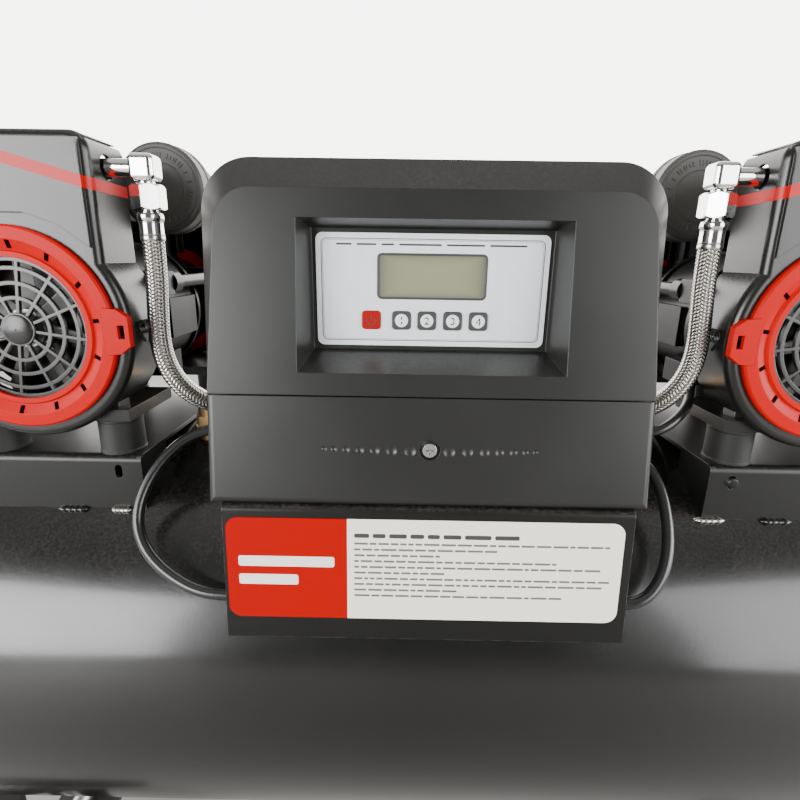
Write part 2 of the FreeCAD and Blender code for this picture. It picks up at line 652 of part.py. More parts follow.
def hood(inset):
    """The front cover's outer form, or its hollow when inset is the wall."""
    face = outline_wire(155 - inset, 147 - inset, SEAM_Z, 803, FACE_TOP - inset, 25, lean(inset))
    rim = outline_wire(168 - inset, 162 - inset, SEAM_Z, 803, 849 - inset, 36, upright(RIM_Y))
    back = Part.Face(outline_wire(168 - inset, 162 - inset, SEAM_Z, 803, 849 - inset, 36, upright(RIM_Y)))
    flare = Part.makeLoft([face, rim], True, True)
    return fuse([flare, back.extrude(V(0, 22 + inset, 0))])


def pocket(grow, floor_y):
    """Recess of the face: from the leaning opening down to the upright floor."""
    def frame(half, z0, z1, y_of, reach):
        corners = [(-half, z0), (half, z0), (half, z1), (-half, z1)]
        points = [V(x, y_of(z) - reach, z) for x, z in corners]
        return Part.makePolygon(points + [points[0]])

    mouth = frame(93.4 + grow, 706 - grow, 810.3 + grow, lean(0), 4)
    floor = frame(85.5 + grow, 719 - grow, 804 + grow, upright(floor_y), 0)
    loft = Part.makeLoft([mouth, floor], True, True)
    return loft


def make_control_box():
    fascia_back = LABEL_Y + FASCIA_T
    floor_back = fascia_back + 2
    holes = [moved(rounded_plate(77, 30.7, 3, 12), 0, LABEL_Y - 1, 771.6)]
    for x in KEY_X.values():
        holes.append(moved(rounded_plate(KEY_SIZE + 0.6, KEY_SIZE + 0.6, 2.6, 12), x, LABEL_Y - 1, KEY_Z))
    well = pocket(WALL, floor_back).common(hood(0))
    cover = fuse([hood(0).cut(hood(WALL)), well])
    cover = cover.cut(pocket(0, fascia_back))
    cover = cover.cut(box(-BOX_HALF_X + 4, BOX_HALF_X - 4, -180, -100, SEAM_Z - 1, SEAM_Z + 2))
    posts = []
    for x in (-70, 70):
        for z in (729, 795):
            posts.append(rod(3, (x, floor_back - 1, z), 8, Y_AXIS))
    cover = fuse([cover] + posts)
    for hole in holes:
        cover = cover.cut(hole)
    save("front_cover", [cover])

    fascia = moved(rounded_plate(165, 79, 5, FASCIA_T), 0, LABEL_Y, 761.5)
    for hole in holes:
        fascia = fascia.cut(hole)
    save("fascia", [fascia])
    save("lcd_window", [moved(rounded_plate(76.8, 30.5, 2.9, 3), 0, LABEL_Y + 0.2, 771.6)])

    board = [box(-76, 76, floor_back + 7, floor_back + 8.6, 725, 799),
             box(-42, 42, floor_back + 1, floor_back + 7, 752, 791)]
    for x in KEY_X.values():
        board.append(box(x - 3, x + 3, floor_back + 5, floor_back + 7, KEY_Z - 3, KEY_Z + 3))
    save("circuit_board", [fuse(board)])
    for name, x in KEY_X.items():
        cap = rounded_plate(KEY_SIZE, KEY_SIZE, 2.3, 8)
        save(name, [moved(cap, x, LABEL_Y - 1.2, KEY_Z)])

    lower = outline_wire(BOX_HALF_X - 2, BOX_HALF_X - 2, BOX_BOTTOM, 803, BOX_TOP, 33, upright(RIM_Y))
    shell = Part.Face(lower).extrude(V(0, BOX_BACK - RIM_Y, 0))
    inside = BOX_HALF_X - 4.5
    hollow = outline_wire(inside, inside, BOX_BOTTOM + WALL, 803, BOX_TOP - WALL, 31, upright(RIM_Y))
    shell = shell.cut(Part.Face(hollow).extrude(V(0, BOX_BACK - RIM_Y - WALL, 0)))
    for x, y, z, radius in GLANDS:
        if abs(x) > BRACKET_HALF_X:
            shell = shell.cut(rod(radius, (min(x, 0), y, z), abs(x), X_AXIS))
    save("box_base", [shell])

    top = SEAM_Z - 0.7
    bottom = BOX_BOTTOM
    proud = 0.9
    side = [V(0, SEAM_Y - proud, top), V(0, SEAM_Y - proud - 11.5, bottom),
            V(0, RIM_Y, bottom), V(0, RIM_Y, top)]
    solid = moved(prism(side, V(312, 0, 0)), x=-156)
    front = [e for e in solid.Edges if e.CenterOfMass.y < SEAM_Y]
    front = [e for e in front if abs(e.Vertexes[0].Z - e.Vertexes[-1].Z) > 1]
    front += [e for e in solid.Edges if e.CenterOfMass.y < SEAM_Y - 8 and e.Length > 300]
    solid = solid.makeFillet(5.0, front)
    inner = [V(0, SEAM_Y - proud + WALL, top - WALL), V(0, SEAM_Y - proud - 11.5 + WALL, bottom + WALL),
             V(0, RIM_Y + 1, bottom + WALL), V(0, RIM_Y + 1, top - WALL)]
    solid = solid.cut(moved(prism(inner, V(307, 0, 0)), x=-153.5))
    solid = solid.fuse(rod(9, (0, -193, 655.6), 10, Y_AXIS).common(moved(prism(side, V(30, 0, 0)), x=-15)))
    solid = solid.cut(rod(7.2, (0, -200, 655.6), 9.5, Y_AXIS)).cut(rod(2.2, (0, -200, 655.6), 30, Y_AXIS))
    for x, width in DIMPLES:
        depth = 0.9
        ball = (width ** 2 / 4 + depth ** 2) / (2 * depth)
        for side in (-1, 1):
            solid = solid.cut(Part.makeSphere(ball, V(side * x, -193.2 + depth - ball, 655.6)))
    save("terminal_cover", [solid])
    screw = fuse([rod(5, (0, -194.6, 655.6), 4.1, Y_AXIS), rod(2.2, (0, -191, 655.6), 20, Y_AXIS)])
    cross = box(-3, 3, -195, -193, 655.1, 656.1).fuse(box(-0.5, 0.5, -195, -193, 652.6, 658.6))
    return screw.cut(cross)


def make_bracket():
    t = BRACKET_T
    drop = SKIRT_SLOPE * (BOX_BOTTOM - SKIRT_BOTTOM_Z)
    shelf = BOX_BOTTOM
    profile = [V(0, SKIRT_TOP_Y, shelf), V(0, SKIRT_TOP_Y - drop, SKIRT_BOTTOM_Z),
               V(0, SKIRT_TOP_Y - drop + t, SKIRT_BOTTOM_Z), V(0, SKIRT_TOP_Y + t, shelf - t),
               V(0, -101, shelf - t), V(0, -101, 580), V(0, -98, 580), V(0, -98, shelf)]
    sheet = moved(prism(profile, V(2 * BRACKET_HALF_X, 0, 0)), x=-BRACKET_HALF_X)
    bend = [e for e in sheet.Edges if e.Length > 290 and e.CenterOfMass.z > shelf - 1]
    bend = [e for e in bend if e.CenterOfMass.y < -190]
    sheet = sheet.makeFillet(5.0, bend)
    gussets = []
    for x in (-BRACKET_HALF_X + 7, BRACKET_HALF_X - 10):
        low = SKIRT_BOTTOM_Z + 4
        web = prism([V(x, SKIRT_TOP_Y + 1, shelf - 1), V(x, SKIRT_TOP_Y - drop + 2, low), V(x, -150, low),
                     V(x, -100, shelf - 1)], V(t, 0, 0))
        gussets.append(web)
    whole = fuse([sheet] + gussets).cut(tank_outer())
    for x, y, z, radius in GLANDS:
        if abs(x) < BRACKET_HALF_X:
            whole = whole.cut(rod(radius, (x - 5, y, z), 10, X_AXIS))
    save("control_bracket", [whole])
    label = rounded_plate(285, 78.5, 9, 0.5)
    middle_z = 566.2
    tilt = math.degrees(math.atan(SKIRT_SLOPE))
    label.rotate(V(0, 0, 0), X_AXIS, -tilt)
    label = moved(label, LABEL_X, SKIRT_TOP_Y - SKIRT_SLOPE * (shelf - middle_z) - 0.52, middle_z)
    save("notice_label", [label])


# glands: outer wall point and stem radius, (x, y, z, radius)
GLANDS = [(-156.0, -118.0, 643.0, 5.0), (156.0, -118.0, 626.0, 5.0), (156.0, -106.0, 646.0, 5.0),
          (-140.0, -185.0, 529.0, 5.0), (140.0, -187.0, 529.0, 5.0)]


def make_glands():
    """Hexagon glands with a short domed nut; the cable starts at the dome's face."""
    glands = []
    for x, y, z, radius in GLANDS:
        wall = WALL if abs(x) > BRACKET_HALF_X else BRACKET_T
        lead_in = 0.0 if abs(x) > BRACKET_HALF_X else 5.0
        dome = turned([(0, 1), (7, 1), (7, 2 + lead_in), (5.4, 3 + lead_in), (0, 3 + lead_in)], X_AXIS)
        body = fuse([rod(radius, (-wall - 3, 0, 0), wall + 4, X_AXIS), dome,
                     hexagon(15, (0, 0, 0), 2 + lead_in / 2, X_AXIS),
                     hexagon(15, (-wall - 3, 0, 0), 3, X_AXIS)])
        if x < 0:
            body = mirrored(body, X_AXIS)
        glands.append(moved(body, x, y, z))
    save("cable_glands", glands)


# ---------------------------------------------------------------- hoses and cables
INNER_HOSE = [(-215, -114, 798), (-215, -114, 771), (-216.5, -115.5, 743), (-217.5, -116.5, 717),
              (-214.5, -116, 697), (-206.5, -112.5, 679), (-194.5, -105, 665), (-181, -93.5, 656.5),
              (-166, -80, 653.5), (-149, -70.8, 653.2), (-130.5, -66.2, 653.2), (-110, -66.2, 653.2)]
OUTER_HOSE = [(-425, -114, 798), (-425, -114, 774), (-422, -116.5, 748), (-420, -118.5, 720),
              (-420, -117, 692), (-421, -115, 676), (-421, -115, 660)]
LEFT_CABLE = [(-159, -118, 643), (-173, -118, 643), (-187.5, -120, 641), (-200.5, -123.5, 635.5),
              (-212, -128.5, 626.5), (-222, -135, 614.5), (-229.5, -142.5, 600.5),
              (-233.5, -150.5, 585.5), (-232, -158.5, 570.5), (-224.5, -166, 557),
              (-212.5, -172.5, 546.5), (-198, -178, 538.5), (-182.5, -182.5, 532.5),
              (-165.5, -185, 529), (-148, -185, 529)]
RIGHT_CABLE = [(159, -118, 626), (171, -118, 626), (182.8, -121.6, 622), (190.5, -127.8, 614.8),
               (194.6, -136.5, 604.8), (196, -147, 591.5), (195.5, -157.5, 577), (192.5, -167.5, 563),
               (187.5, -175.5, 551), (180.5, -181.5, 541.5), (173, -185.2, 534.9), (165.3, -187, 531),
               (157, -187, 529), (148, -187, 529)]
MOTOR_LEAD = [(159, -106, 646), (171.5, -106, 646), (185, -108.5, 643), (197.5, -110.5, 644),
              (209, -109, 649.5), (219.5, -104.5, 657), (228.5, -96.5, 663.5), (235.5, -86, 668.5),
              (241.5, -74.5, 672), (248, -63.5, 674.5), (254, -52, 675.5), (254, -40, 675.5)]


def flipped(points):
    return [(-x, y, z) for x, y, z in points]


def make_cords(fittings):
    routes = {
        "hose_1": OUTER_HOSE,
        "hose_2": INNER_HOSE,
        "hose_3": flipped(INNER_HOSE),
        "hose_4": flipped(OUTER_HOSE),
    }
    for name, points in routes.items():
        save(name, [cord(name, points, HOSE_D)])
    save("cable_left", [cord("cable_left", LEFT_CABLE, CABLE_D)])
    save("cable_right", [cord("cable_right", RIGHT_CABLE, CABLE_D)])
    save("motor_lead", [cord("motor_lead", MOTOR_LEAD, LEAD_D)])
    x, y, z = OUTER_HOSE[-1]
    post = fuse([rod(FERRULE_R, (x, y, z - 12), 12, Z_AXIS), hexagon(22, (x, y, z - 28), 17, Z_AXIS),
                 rod(10, (x, y, DECK_TOP), z - 28 - DECK_TOP, Z_AXIS)])
    fittings += [post, mirrored(post, X_AXIS)]


os.makedirs("parts", exist_ok=True)
make_tank()
make_decks()
make_legs()
make_wheels()
make_handle()
shared_nodes, fasteners = make_pumps()
make_fittings()
fasteners.append(make_control_box())
fasteners.append(fuse([rod(4.2, (SLOT_X, -DECK_HALF_Y - 2.5, SLOT_Z), 2.5, Y_AXIS),
                       rod(2.9, (SLOT_X, -DECK_HALF_Y, SLOT_Z), 6, Y_AXIS)]))
make_bracket()
make_glands()
make_cords(shared_nodes["hose_fittings"])
for shared_name, shared_shapes in shared_nodes.items():
    save(shared_name, shared_shapes)
save("fasteners", fasteners)
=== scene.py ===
import json
import math
import random

import bpy
import numpy as np
from bpy.props import FloatProperty, FloatVectorProperty, IntProperty, PointerProperty
from mathutils import Matrix, Vector


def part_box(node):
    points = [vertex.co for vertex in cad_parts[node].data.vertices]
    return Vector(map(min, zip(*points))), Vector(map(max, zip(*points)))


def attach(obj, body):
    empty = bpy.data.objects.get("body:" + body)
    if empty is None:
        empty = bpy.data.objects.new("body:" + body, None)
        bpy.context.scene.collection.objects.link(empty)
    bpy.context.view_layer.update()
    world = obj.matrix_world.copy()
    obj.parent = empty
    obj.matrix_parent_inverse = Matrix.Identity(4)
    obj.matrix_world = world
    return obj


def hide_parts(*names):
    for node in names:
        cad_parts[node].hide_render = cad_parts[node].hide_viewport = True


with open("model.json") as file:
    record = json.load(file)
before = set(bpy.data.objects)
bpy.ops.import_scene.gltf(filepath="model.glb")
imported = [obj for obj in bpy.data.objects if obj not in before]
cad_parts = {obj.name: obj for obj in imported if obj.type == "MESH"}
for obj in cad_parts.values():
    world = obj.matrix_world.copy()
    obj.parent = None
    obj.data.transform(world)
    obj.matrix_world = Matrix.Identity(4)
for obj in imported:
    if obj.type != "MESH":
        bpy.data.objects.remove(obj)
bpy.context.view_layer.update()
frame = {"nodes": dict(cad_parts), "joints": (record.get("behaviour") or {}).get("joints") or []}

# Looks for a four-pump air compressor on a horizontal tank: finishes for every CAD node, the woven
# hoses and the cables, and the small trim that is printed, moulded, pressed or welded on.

bl_info = {
    "name": "Tank air compressor looks",
    "version": (1, 0, 0),
    "blender": (4, 5, 0),
    "location": "View3D > Sidebar > Compressor",
    "description": "Finishes, hoses, cables and trim for a four-pump tank compressor",
    "category": "Object",
}

MM = 0.001
ROOT = "compressor"
NODES = frame["nodes"]
JOINTS = {joint["name"]: joint for joint in frame["joints"]}
SHAFTS = {number: Vector(JOINTS["pump_%d_shaft" % number]["pos_m"]) for number in (1, 2, 3, 4)}
KEYS = ("key_1", "key_2", "key_3", "key_4")
TAU = 2 * math.pi
LABEL_SPLIT = 0.3053      # share of the label's width that is red

# Routes in metres, the same points as the CAD tubes; the right side mirrors the left.
INNER_HOSE = [(-.215, -.114, .798), (-.215, -.114, .771), (-.2165, -.1155, .743), (-.2175, -.1165, .717),
              (-.2145, -.116, .697), (-.2065, -.1125, .679), (-.1945, -.105, .665), (-.181, -.0935, .6565),
              (-.166, -.080, .6535), (-.149, -.0708, .6532), (-.1305, -.0662, .6532), (-.110, -.0662, .6532)]
OUTER_HOSE = [(-.425, -.114, .798), (-.425, -.114, .774), (-.422, -.1165, .748), (-.420, -.1185, .720),
              (-.420, -.117, .692), (-.421, -.115, .676), (-.421, -.115, .660)]
LEFT_CABLE = [(-.159, -.118, .643), (-.173, -.118, .643), (-.1875, -.120, .641), (-.2005, -.1235, .6355),
              (-.212, -.1285, .6265), (-.222, -.135, .6145), (-.2295, -.1425, .6005), (-.2335, -.1505, .5855),
              (-.232, -.1585, .5705), (-.2245, -.166, .557), (-.2125, -.1725, .5465), (-.198, -.178, .5385),
              (-.1825, -.1825, .5325), (-.1655, -.185, .529), (-.148, -.185, .529)]
RIGHT_CABLE = [(.159, -.118, .626), (.171, -.118, .626), (.1828, -.1216, .622), (.1905, -.1278, .6148),
               (.1946, -.1365, .6048), (.196, -.147, .5915), (.1955, -.1575, .577), (.1925, -.1675, .563),
               (.1875, -.1755, .551), (.1805, -.1815, .5415), (.173, -.1852, .5349), (.1653, -.187, .531),
               (.157, -.187, .529), (.148, -.187, .529)]
MOTOR_LEAD = [(.159, -.106, .646), (.1715, -.106, .646), (.185, -.1085, .643), (.1975, -.1105, .644),
              (.209, -.109, .6495), (.2195, -.1045, .657), (.2285, -.0965, .6635), (.2355, -.086, .6685),
              (.2415, -.0745, .672), (.248, -.0635, .6745), (.254, -.052, .6755), (.254, -.040, .6755)]


# ---------------------------------------------------------------- settings
def colour_property(label, about, value):
    return FloatVectorProperty(name=label, description=about, default=value, subtype="COLOR",
                               min=0.0, max=1.0)


def length_property(label, about, millimetres):
    return FloatProperty(name=label, description=about, default=millimetres * MM, unit="LENGTH",
                         subtype="DISTANCE", precision=5)


class StudioSettings(bpy.types.PropertyGroup):
    """Camera, floor and light."""
    eye: FloatVectorProperty(name="Camera place", description="Where the camera stands", unit="LENGTH",
                             subtype="TRANSLATION", default=(-0.0192, -0.527, 0.785))
    yaw: FloatProperty(name="Yaw", description="Turn of the camera to the left", subtype="ANGLE",
                       default=math.radians(0.35))
    pitch: FloatProperty(name="Pitch", description="Tilt of the camera downwards", subtype="ANGLE",
                         default=math.radians(15.64))
    roll: FloatProperty(name="Roll", description="Roll of the camera", subtype="ANGLE",
                        default=math.radians(0.89))
    lens: FloatProperty(name="Lens", description="Focal length in millimetres", default=22.995, min=10.0)
    floor_size: FloatProperty(name="Floor size", description="Side of the floor", unit="LENGTH",
                              subtype="DISTANCE", default=30.0)
    floor_colour: colour_property("Floor", "Plain floor", (0.30, 0.295, 0.285))
    sky_colour: colour_property("Surround", "Colour of the light all round", (1.0, 0.985, 0.955))
    bright_side: FloatProperty(name="Bright side", description="Strength of the pale wall behind",
                               default=6.5, min=0.0)
    dim_side: FloatProperty(name="Dim side", description="Strength of the rest of the surround",
                            default=0.16, min=0.0)


class FinishSettings(bpy.types.PropertyGroup):
    """Colours of the finishes."""
    tank_black: colour_property("Tank paint", "Gloss paint of the tank", (0.004, 0.004, 0.0037))
    sheet_black: colour_property("Sheet metal", "Powder coat of decks, legs and bracket",
                                 (0.004, 0.004, 0.0037))
    box_black: colour_property("Box plastic", "Moulded control box", (0.011, 0.011, 0.010))
    cast_black: colour_property("Castings", "Painted motor and crankcase castings",
                                (0.004, 0.004, 0.0037))
    cowl_grey: colour_property("Cowls", "Moulded fan cowls", (0.008, 0.0078, 0.007))
    rubber_black: colour_property("Rubber", "Feet and mounts", (0.006, 0.006, 0.0055))
    trim_red: colour_property("Red trim", "Fan rings and stripes", (0.46, 0.0, 0.0))
    key_red: colour_property("Power key", "Red power key", (0.34, 0.0, 0.0))
    fascia_grey: colour_property("Fascia", "Printed control fascia", (0.78, 0.81, 0.84))
    display_olive: colour_property("Display", "Unlit display", (0.235, 0.235, 0.150))
    label_red: colour_property("Label red", "Red end of the label", (0.36, 0.0, 0.0))
    label_cream: colour_property("Label cream", "Plain end of the label", (0.86, 0.83, 0.74))
    ink: colour_property("Ink", "Printed numbers, lines and bars", (0.035, 0.037, 0.040))
    chrome: colour_property("Chrome", "Plated fittings", (0.80, 0.80, 0.79))
    braid: colour_property("Braid wire", "Stainless hose braid", (0.74, 0.71, 0.65))
    brass: colour_property("Brass", "Tank fittings", (0.62, 0.40, 0.18))
    zinc: colour_property("Zinc", "Bolts and the axle", (0.50, 0.50, 0.49))


class TrimSettings(bpy.types.PropertyGroup):
    """Sizes of the hoses, cables and small trim."""
    hose_diameter: length_property("Hose", "Outside diameter over the braid", 16.5)
    cable_diameter: length_property("Cable", "Diameter of the two long cables", 9.0)
    lead_diameter: length_property("Motor lead", "Diameter of the motor lead", 8.5)
    carriers: IntProperty(name="Carriers", description="Wire bundles wound each way round a hose",
                          default=12, min=4)
    braid_angle: FloatProperty(name="Braid angle", description="Angle of the wires to the hose",
                               subtype="ANGLE", default=math.radians(57))
    bundle_thickness: length_property("Bundle", "Thickness of a bundle of braid wires", 0.70)
    weave_lift: length_property("Weave lift", "How far a bundle rises and dips", 0.42)
    film: length_property("Print film", "How far print stands proud of its surface", 0.08)
    stripe_height: length_property("Stripe", "Height of the red stripe on a cowl", 8.5)
    slot_length: length_property("Ring slot", "Length of a slot in a fan ring", 5.8)
    slot_count: IntProperty(name="Ring slots", description="Slots round a fan ring", default=14, min=3)
    border_inset: length_property("Border inset", "Inset of the line round the fascia", 3.6)
    key_disc: length_property("Key disc", "Radius of the white disc on a key", 4.9)
    bars_height: length_property("Label bars", "Height of the pair of heavy bars on the label", 22.4)
    bead_radius: length_property("Weld bead", "Half width of a weld bead", 4.0)
    tread_depth: length_property("Tread", "Depth of the tyre tread", 3.0)


# ---------------------------------------------------------------- shader building blocks
def link(tree, source, target):
    tree.links.new(source, target)


def plug(tree, value, socket):
    """Puts a number, colour or another socket into a socket."""
    if isinstance(value, bpy.types.NodeSocket):
        link(tree, value, socket)
    else:
        socket.default_value = value


def sums(tree, operation, first, second=0.0, third=None, clamp=False):
    node = tree.nodes.new("ShaderNodeMath")
    node.operation = operation
    node.use_clamp = clamp
    plug(tree, first, node.inputs[0])
    plug(tree, second, node.inputs[1])
    if third is not None:
        plug(tree, third, node.inputs[2])
    return node.outputs[0]


def mixed(tree, share, first, second):
    """Colour between first and second."""
    node = tree.nodes.new("ShaderNodeMix")
    node.data_type = "RGBA"
    plug(tree, share, node.inputs[0])
    for value, socket in ((first, node.inputs[6]), (second, node.inputs[7])):
        plug(tree, value if isinstance(value, bpy.types.NodeSocket) else (*value, 1.0), socket)
    return node.outputs[2]


def noise(tree, scale, detail=2.0, vector=None):
    node = tree.nodes.new("ShaderNodeTexNoise")
    if vector is None:
        vector = tree.nodes.new("ShaderNodeTexCoord").outputs["Object"]
    link(tree, vector, node.inputs["Vector"])
    plug(tree, scale, node.inputs["Scale"])
    node.inputs["Detail"].default_value = detail
    return node.outputs["Fac"]


def place(tree):
    """X, Y and Z of the surface in the object's own metres."""
    split = tree.nodes.new("ShaderNodeSeparateXYZ")
    link(tree, tree.nodes.new("ShaderNodeTexCoord").outputs["Object"], split.inputs[0])
    return split.outputs


def new_group(name, inputs, outputs):
    tree = bpy.data.node_groups.new(name, "ShaderNodeTree")
    for label, value in inputs.items():
        socket = tree.interface.new_socket(name=label, in_out="INPUT", socket_type="NodeSocketFloat")
        socket.default_value = value
    for label, kind in outputs.items():
        tree.interface.new_socket(name=label, in_out="OUTPUT", socket_type=kind)
    return tree, tree.nodes.new("NodeGroupInput").outputs, tree.nodes.new("NodeGroupOutput").inputs


def surface_grain_group():
    """Fine grain height and a slow, broad mottle, both from the grain size in metres."""
    tree, given, out = new_group("surface_grain", {"Size": 0.001, "Contrast": 0.2},
                                 {"Height": "NodeSocketFloat", "Mottle": "NodeSocketFloat"})
    fine = sums(tree, "DIVIDE", 1.0, given["Size"])
    link(tree, noise(tree, fine, 3.0), out["Height"])
    broad = noise(tree, 14.0, 4.0)
    centred = sums(tree, "SUBTRACT", broad, 0.5)
    link(tree, sums(tree, "MULTIPLY", centred, given["Contrast"]), out["Mottle"])


def edge_wear_group():
    """Rounded edge normal, and a broken mask along the edges."""
    tree, given, out = new_group("edge_wear", {"Radius": 0.0006, "Amount": 0.3},
                                 {"Mask": "NodeSocketFloat", "Normal": "NodeSocketVector"})
    rounded = tree.nodes.new("ShaderNodeBevel")
    rounded.samples = 4
    link(tree, given["Radius"], rounded.inputs["Radius"])
    dot = tree.nodes.new("ShaderNodeVectorMath")
    dot.operation = "DOT_PRODUCT"
    link(tree, rounded.outputs[0], dot.inputs[0])
    link(tree, tree.nodes.new("ShaderNodeNewGeometry").outputs["Normal"], dot.inputs[1])
    turned = sums(tree, "SUBTRACT", 1.0, dot.outputs["Value"])
    sharp = sums(tree, "MULTIPLY", turned, 5.0, clamp=True)
    patchy = sums(tree, "MULTIPLY_ADD", noise(tree, 160.0, 4.0), 4.0, -1.7, clamp=True)
    worn = sums(tree, "MULTIPLY", sharp, patchy)
    link(tree, sums(tree, "MULTIPLY", worn, given["Amount"], clamp=True), out["Mask"])
    link(tree, rounded.outputs[0], out["Normal"])


def settled_dust_group():
    """Mask of dust that lies on faces that look up."""
    tree, given, out = new_group("settled_dust", {"Amount": 0.1}, {"Mask": "NodeSocketFloat"})
    split = tree.nodes.new("ShaderNodeSeparateXYZ")
    link(tree, tree.nodes.new("ShaderNodeNewGeometry").outputs["Normal"], split.inputs[0])
    up = sums(tree, "MULTIPLY_ADD", split.outputs[2], 1.6, -0.5, clamp=True)
    specks = sums(tree, "MULTIPLY_ADD", noise(tree, 420.0, 5.0), 3.0, -1.2, clamp=True)
    cloud = sums(tree, "MULTIPLY_ADD", noise(tree, 22.0, 3.0), 1.4, -0.2, clamp=True)
    lying = sums(tree, "MULTIPLY", up, sums(tree, "MULTIPLY", specks, cloud))
    link(tree, sums(tree, "MULTIPLY", lying, given["Amount"], clamp=True), out["Mask"])


def use_group(tree, name, **values):
    node = tree.nodes.new("ShaderNodeGroup")
    node.node_tree = bpy.data.node_groups[name]
    for label, value in values.items():
        node.inputs[label].default_value = value
    return node.outputs


def finish_named(name):
    """The finish, as distinct from the plain CAD material of the same name."""
    return bpy.data.materials[name + " finish"]


def blank_material(name):
    material = bpy.data.materials.new(name + " finish")
    material.use_nodes = True
    tree = material.node_tree
    return tree, tree.nodes["Principled BSDF"]


def bumped(tree, height, depth, normal=None):
    node = tree.nodes.new("ShaderNodeBump")
    node.inputs["Strength"].default_value = 1.0
    node.inputs["Distance"].default_value = depth
    plug(tree, height, node.inputs["Height"])
    if normal is not None:
        link(tree, normal, node.inputs["Normal"])
    return node.outputs[0]


def finish(name, colour, roughness, metallic=0.0, grain=0.5, depth=0.01, mottle=0.25, wear=0.0,
           worn=(0.30, 0.29, 0.28), dust=0.0, edge=0.5, coat=0.0, spread=0.25, shine=0.5, paint=None):
    """A finish with grain, broad mottle, worn edges and dust; grain, depth and edge are in millimetres.

    paint(tree) may give the colour socket instead of one plain colour."""
    tree, shader = blank_material(name)
    surface = use_group(tree, "surface_grain", Size=grain * MM, Contrast=mottle)
    base = colour if paint is None else paint(tree)
    shade = sums(tree, "ADD", 1.0, surface["Mottle"])
    toned = tree.nodes.new("ShaderNodeVectorMath")
    toned.operation = "SCALE"
    plug(tree, base, toned.inputs[0])
    link(tree, shade, toned.inputs["Scale"])
    tint = toned.outputs[0]
    rough = sums(tree, "MULTIPLY_ADD", surface["Mottle"], spread, roughness, clamp=True)
    normal = None
    if edge:
        edges = use_group(tree, "edge_wear", Radius=edge * MM, Amount=wear)
        normal = edges["Normal"]
        if wear:
            tint = mixed(tree, edges["Mask"], tint, worn)
    if dust:
        lying = use_group(tree, "settled_dust", Amount=dust)["Mask"]
        tint = mixed(tree, lying, tint, (0.36, 0.34, 0.30))
        rough = sums(tree, "MULTIPLY_ADD", lying, 0.5, rough, clamp=True)
    link(tree, tint, shader.inputs["Base Color"])
    link(tree, rough, shader.inputs["Roughness"])
    link(tree, bumped(tree, surface["Height"], depth * MM, normal), shader.inputs["Normal"])
    shader.inputs["Metallic"].default_value = metallic
    shader.inputs["Specular IOR Level"].default_value = shine
    shader.inputs["Coat Weight"].default_value = coat
    shader.inputs["Coat Roughness"].default_value = 0.12


# ---------------------------------------------------------------- mesh building blocks
def make_mesh(name, points, faces, sharp=35.0):
    mesh = bpy.data.meshes.new(name)
    mesh.from_pydata([tuple(p) for p in points], [], faces)
    mesh.validate()
    mesh.polygons.foreach_set("use_smooth", [True] * len(mesh.polygons))
    mesh.set_sharp_from_angle(angle=math.radians(sharp))
    return mesh


def joined(parts):
    """One list of points and faces from several."""
    points = []
    faces = []
    for more_points, more_faces in parts:
        start = len(points)
        points += list(more_points)
        faces += [tuple(start + index for index in face) for face in more_faces]
    return points, faces


def add_piece(name, shape, material, body=ROOT, round_edge=0.0, replaces=(), sharp=35.0):
    """Makes an object of a (points, faces) shape or a mesh, and ties it to its body and slot."""
    mesh = shape if isinstance(shape, bpy.types.Mesh) else make_mesh(name, *shape, sharp=sharp)
    piece = bpy.data.objects.new(name, mesh)
    bpy.context.scene.collection.objects.link(piece)
    mesh.materials.clear()
    mesh.materials.append(finish_named(material))
    if round_edge:
        bevel = piece.modifiers.new("rounded", "BEVEL")
        bevel.width = round_edge
        bevel.segments = 2
        bevel.limit_method = "ANGLE"
        bevel.angle_limit = math.radians(35)
    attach(piece, body)
    if replaces:
        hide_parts(*replaces)
    return piece


def turned_ring(profile, centre, axis="Y", steps=64):
    """Closed ring from a closed (radius, height) outline turned about an axis through centre."""
    points = []
    faces = []
    count = len(profile)
    for step in range(steps):
        angle = TAU * step / steps
        for radius, height in profile:
            across, up = radius * math.cos(angle), radius * math.sin(angle)
            flat = {"Y": (across, height, up), "Z": (across, up, height), "X": (height, across, up)}[axis]
            points.append(Vector(centre) + Vector(flat))
    for step in range(steps):
        after = (step + 1) % steps
        for index in range(count):
            other = (index + 1) % count
            faces.append((step * count + index, step * count + other,
                          after * count + other, after * count + index))
    if axis == "Y":
        faces = [face[::-1] for face in faces]
    return points, faces


def disc_dome(radius, crown, centre, steps=40, rings=5):
    """Thin domed button facing -Y; its flat back lies on centre."""
    points = [Vector(centre)]
    for ring in range(rings + 1):
        share = ring / rings
        reach = radius * math.cos(share * math.pi / 2) if ring < rings else 0.0
        lift = crown * math.sin(share * math.pi / 2)
        count = steps if ring < rings else 1
        for step in range(count):
            angle = TAU * step / steps
            away = Vector((reach * math.cos(angle), -lift, reach * math.sin(angle)))
            points.append(Vector(centre) + away)
    faces = []
    for step in range(steps):
        after = (step + 1) % steps
        faces.append((0, 1 + step, 1 + after))
        for ring in range(rings - 1):
            low = 1 + ring * steps
            faces.append((low + step, low + steps + step, low + steps + after, low + after))
        low = 1 + (rings - 1) * steps
        faces.append((low + step, 1 + rings * steps, low + after))
    return points, faces


def rounded_outline(width, height, radius, steps=6):
    """Corner points of an upright rounded rectangle, (x, z), centred on nothing."""
    outline = []
    for turn, (sx, sz) in enumerate(((1, 1), (-1, 1), (-1, -1), (1, -1))):
        for step in range(steps + 1):
            angle = math.pi / 2 * (turn + step / steps)
            outline.append((sx * (width / 2 - radius) + radius * math.cos(angle),
                            sz * (height / 2 - radius) + radius * math.sin(angle)))
    return outline


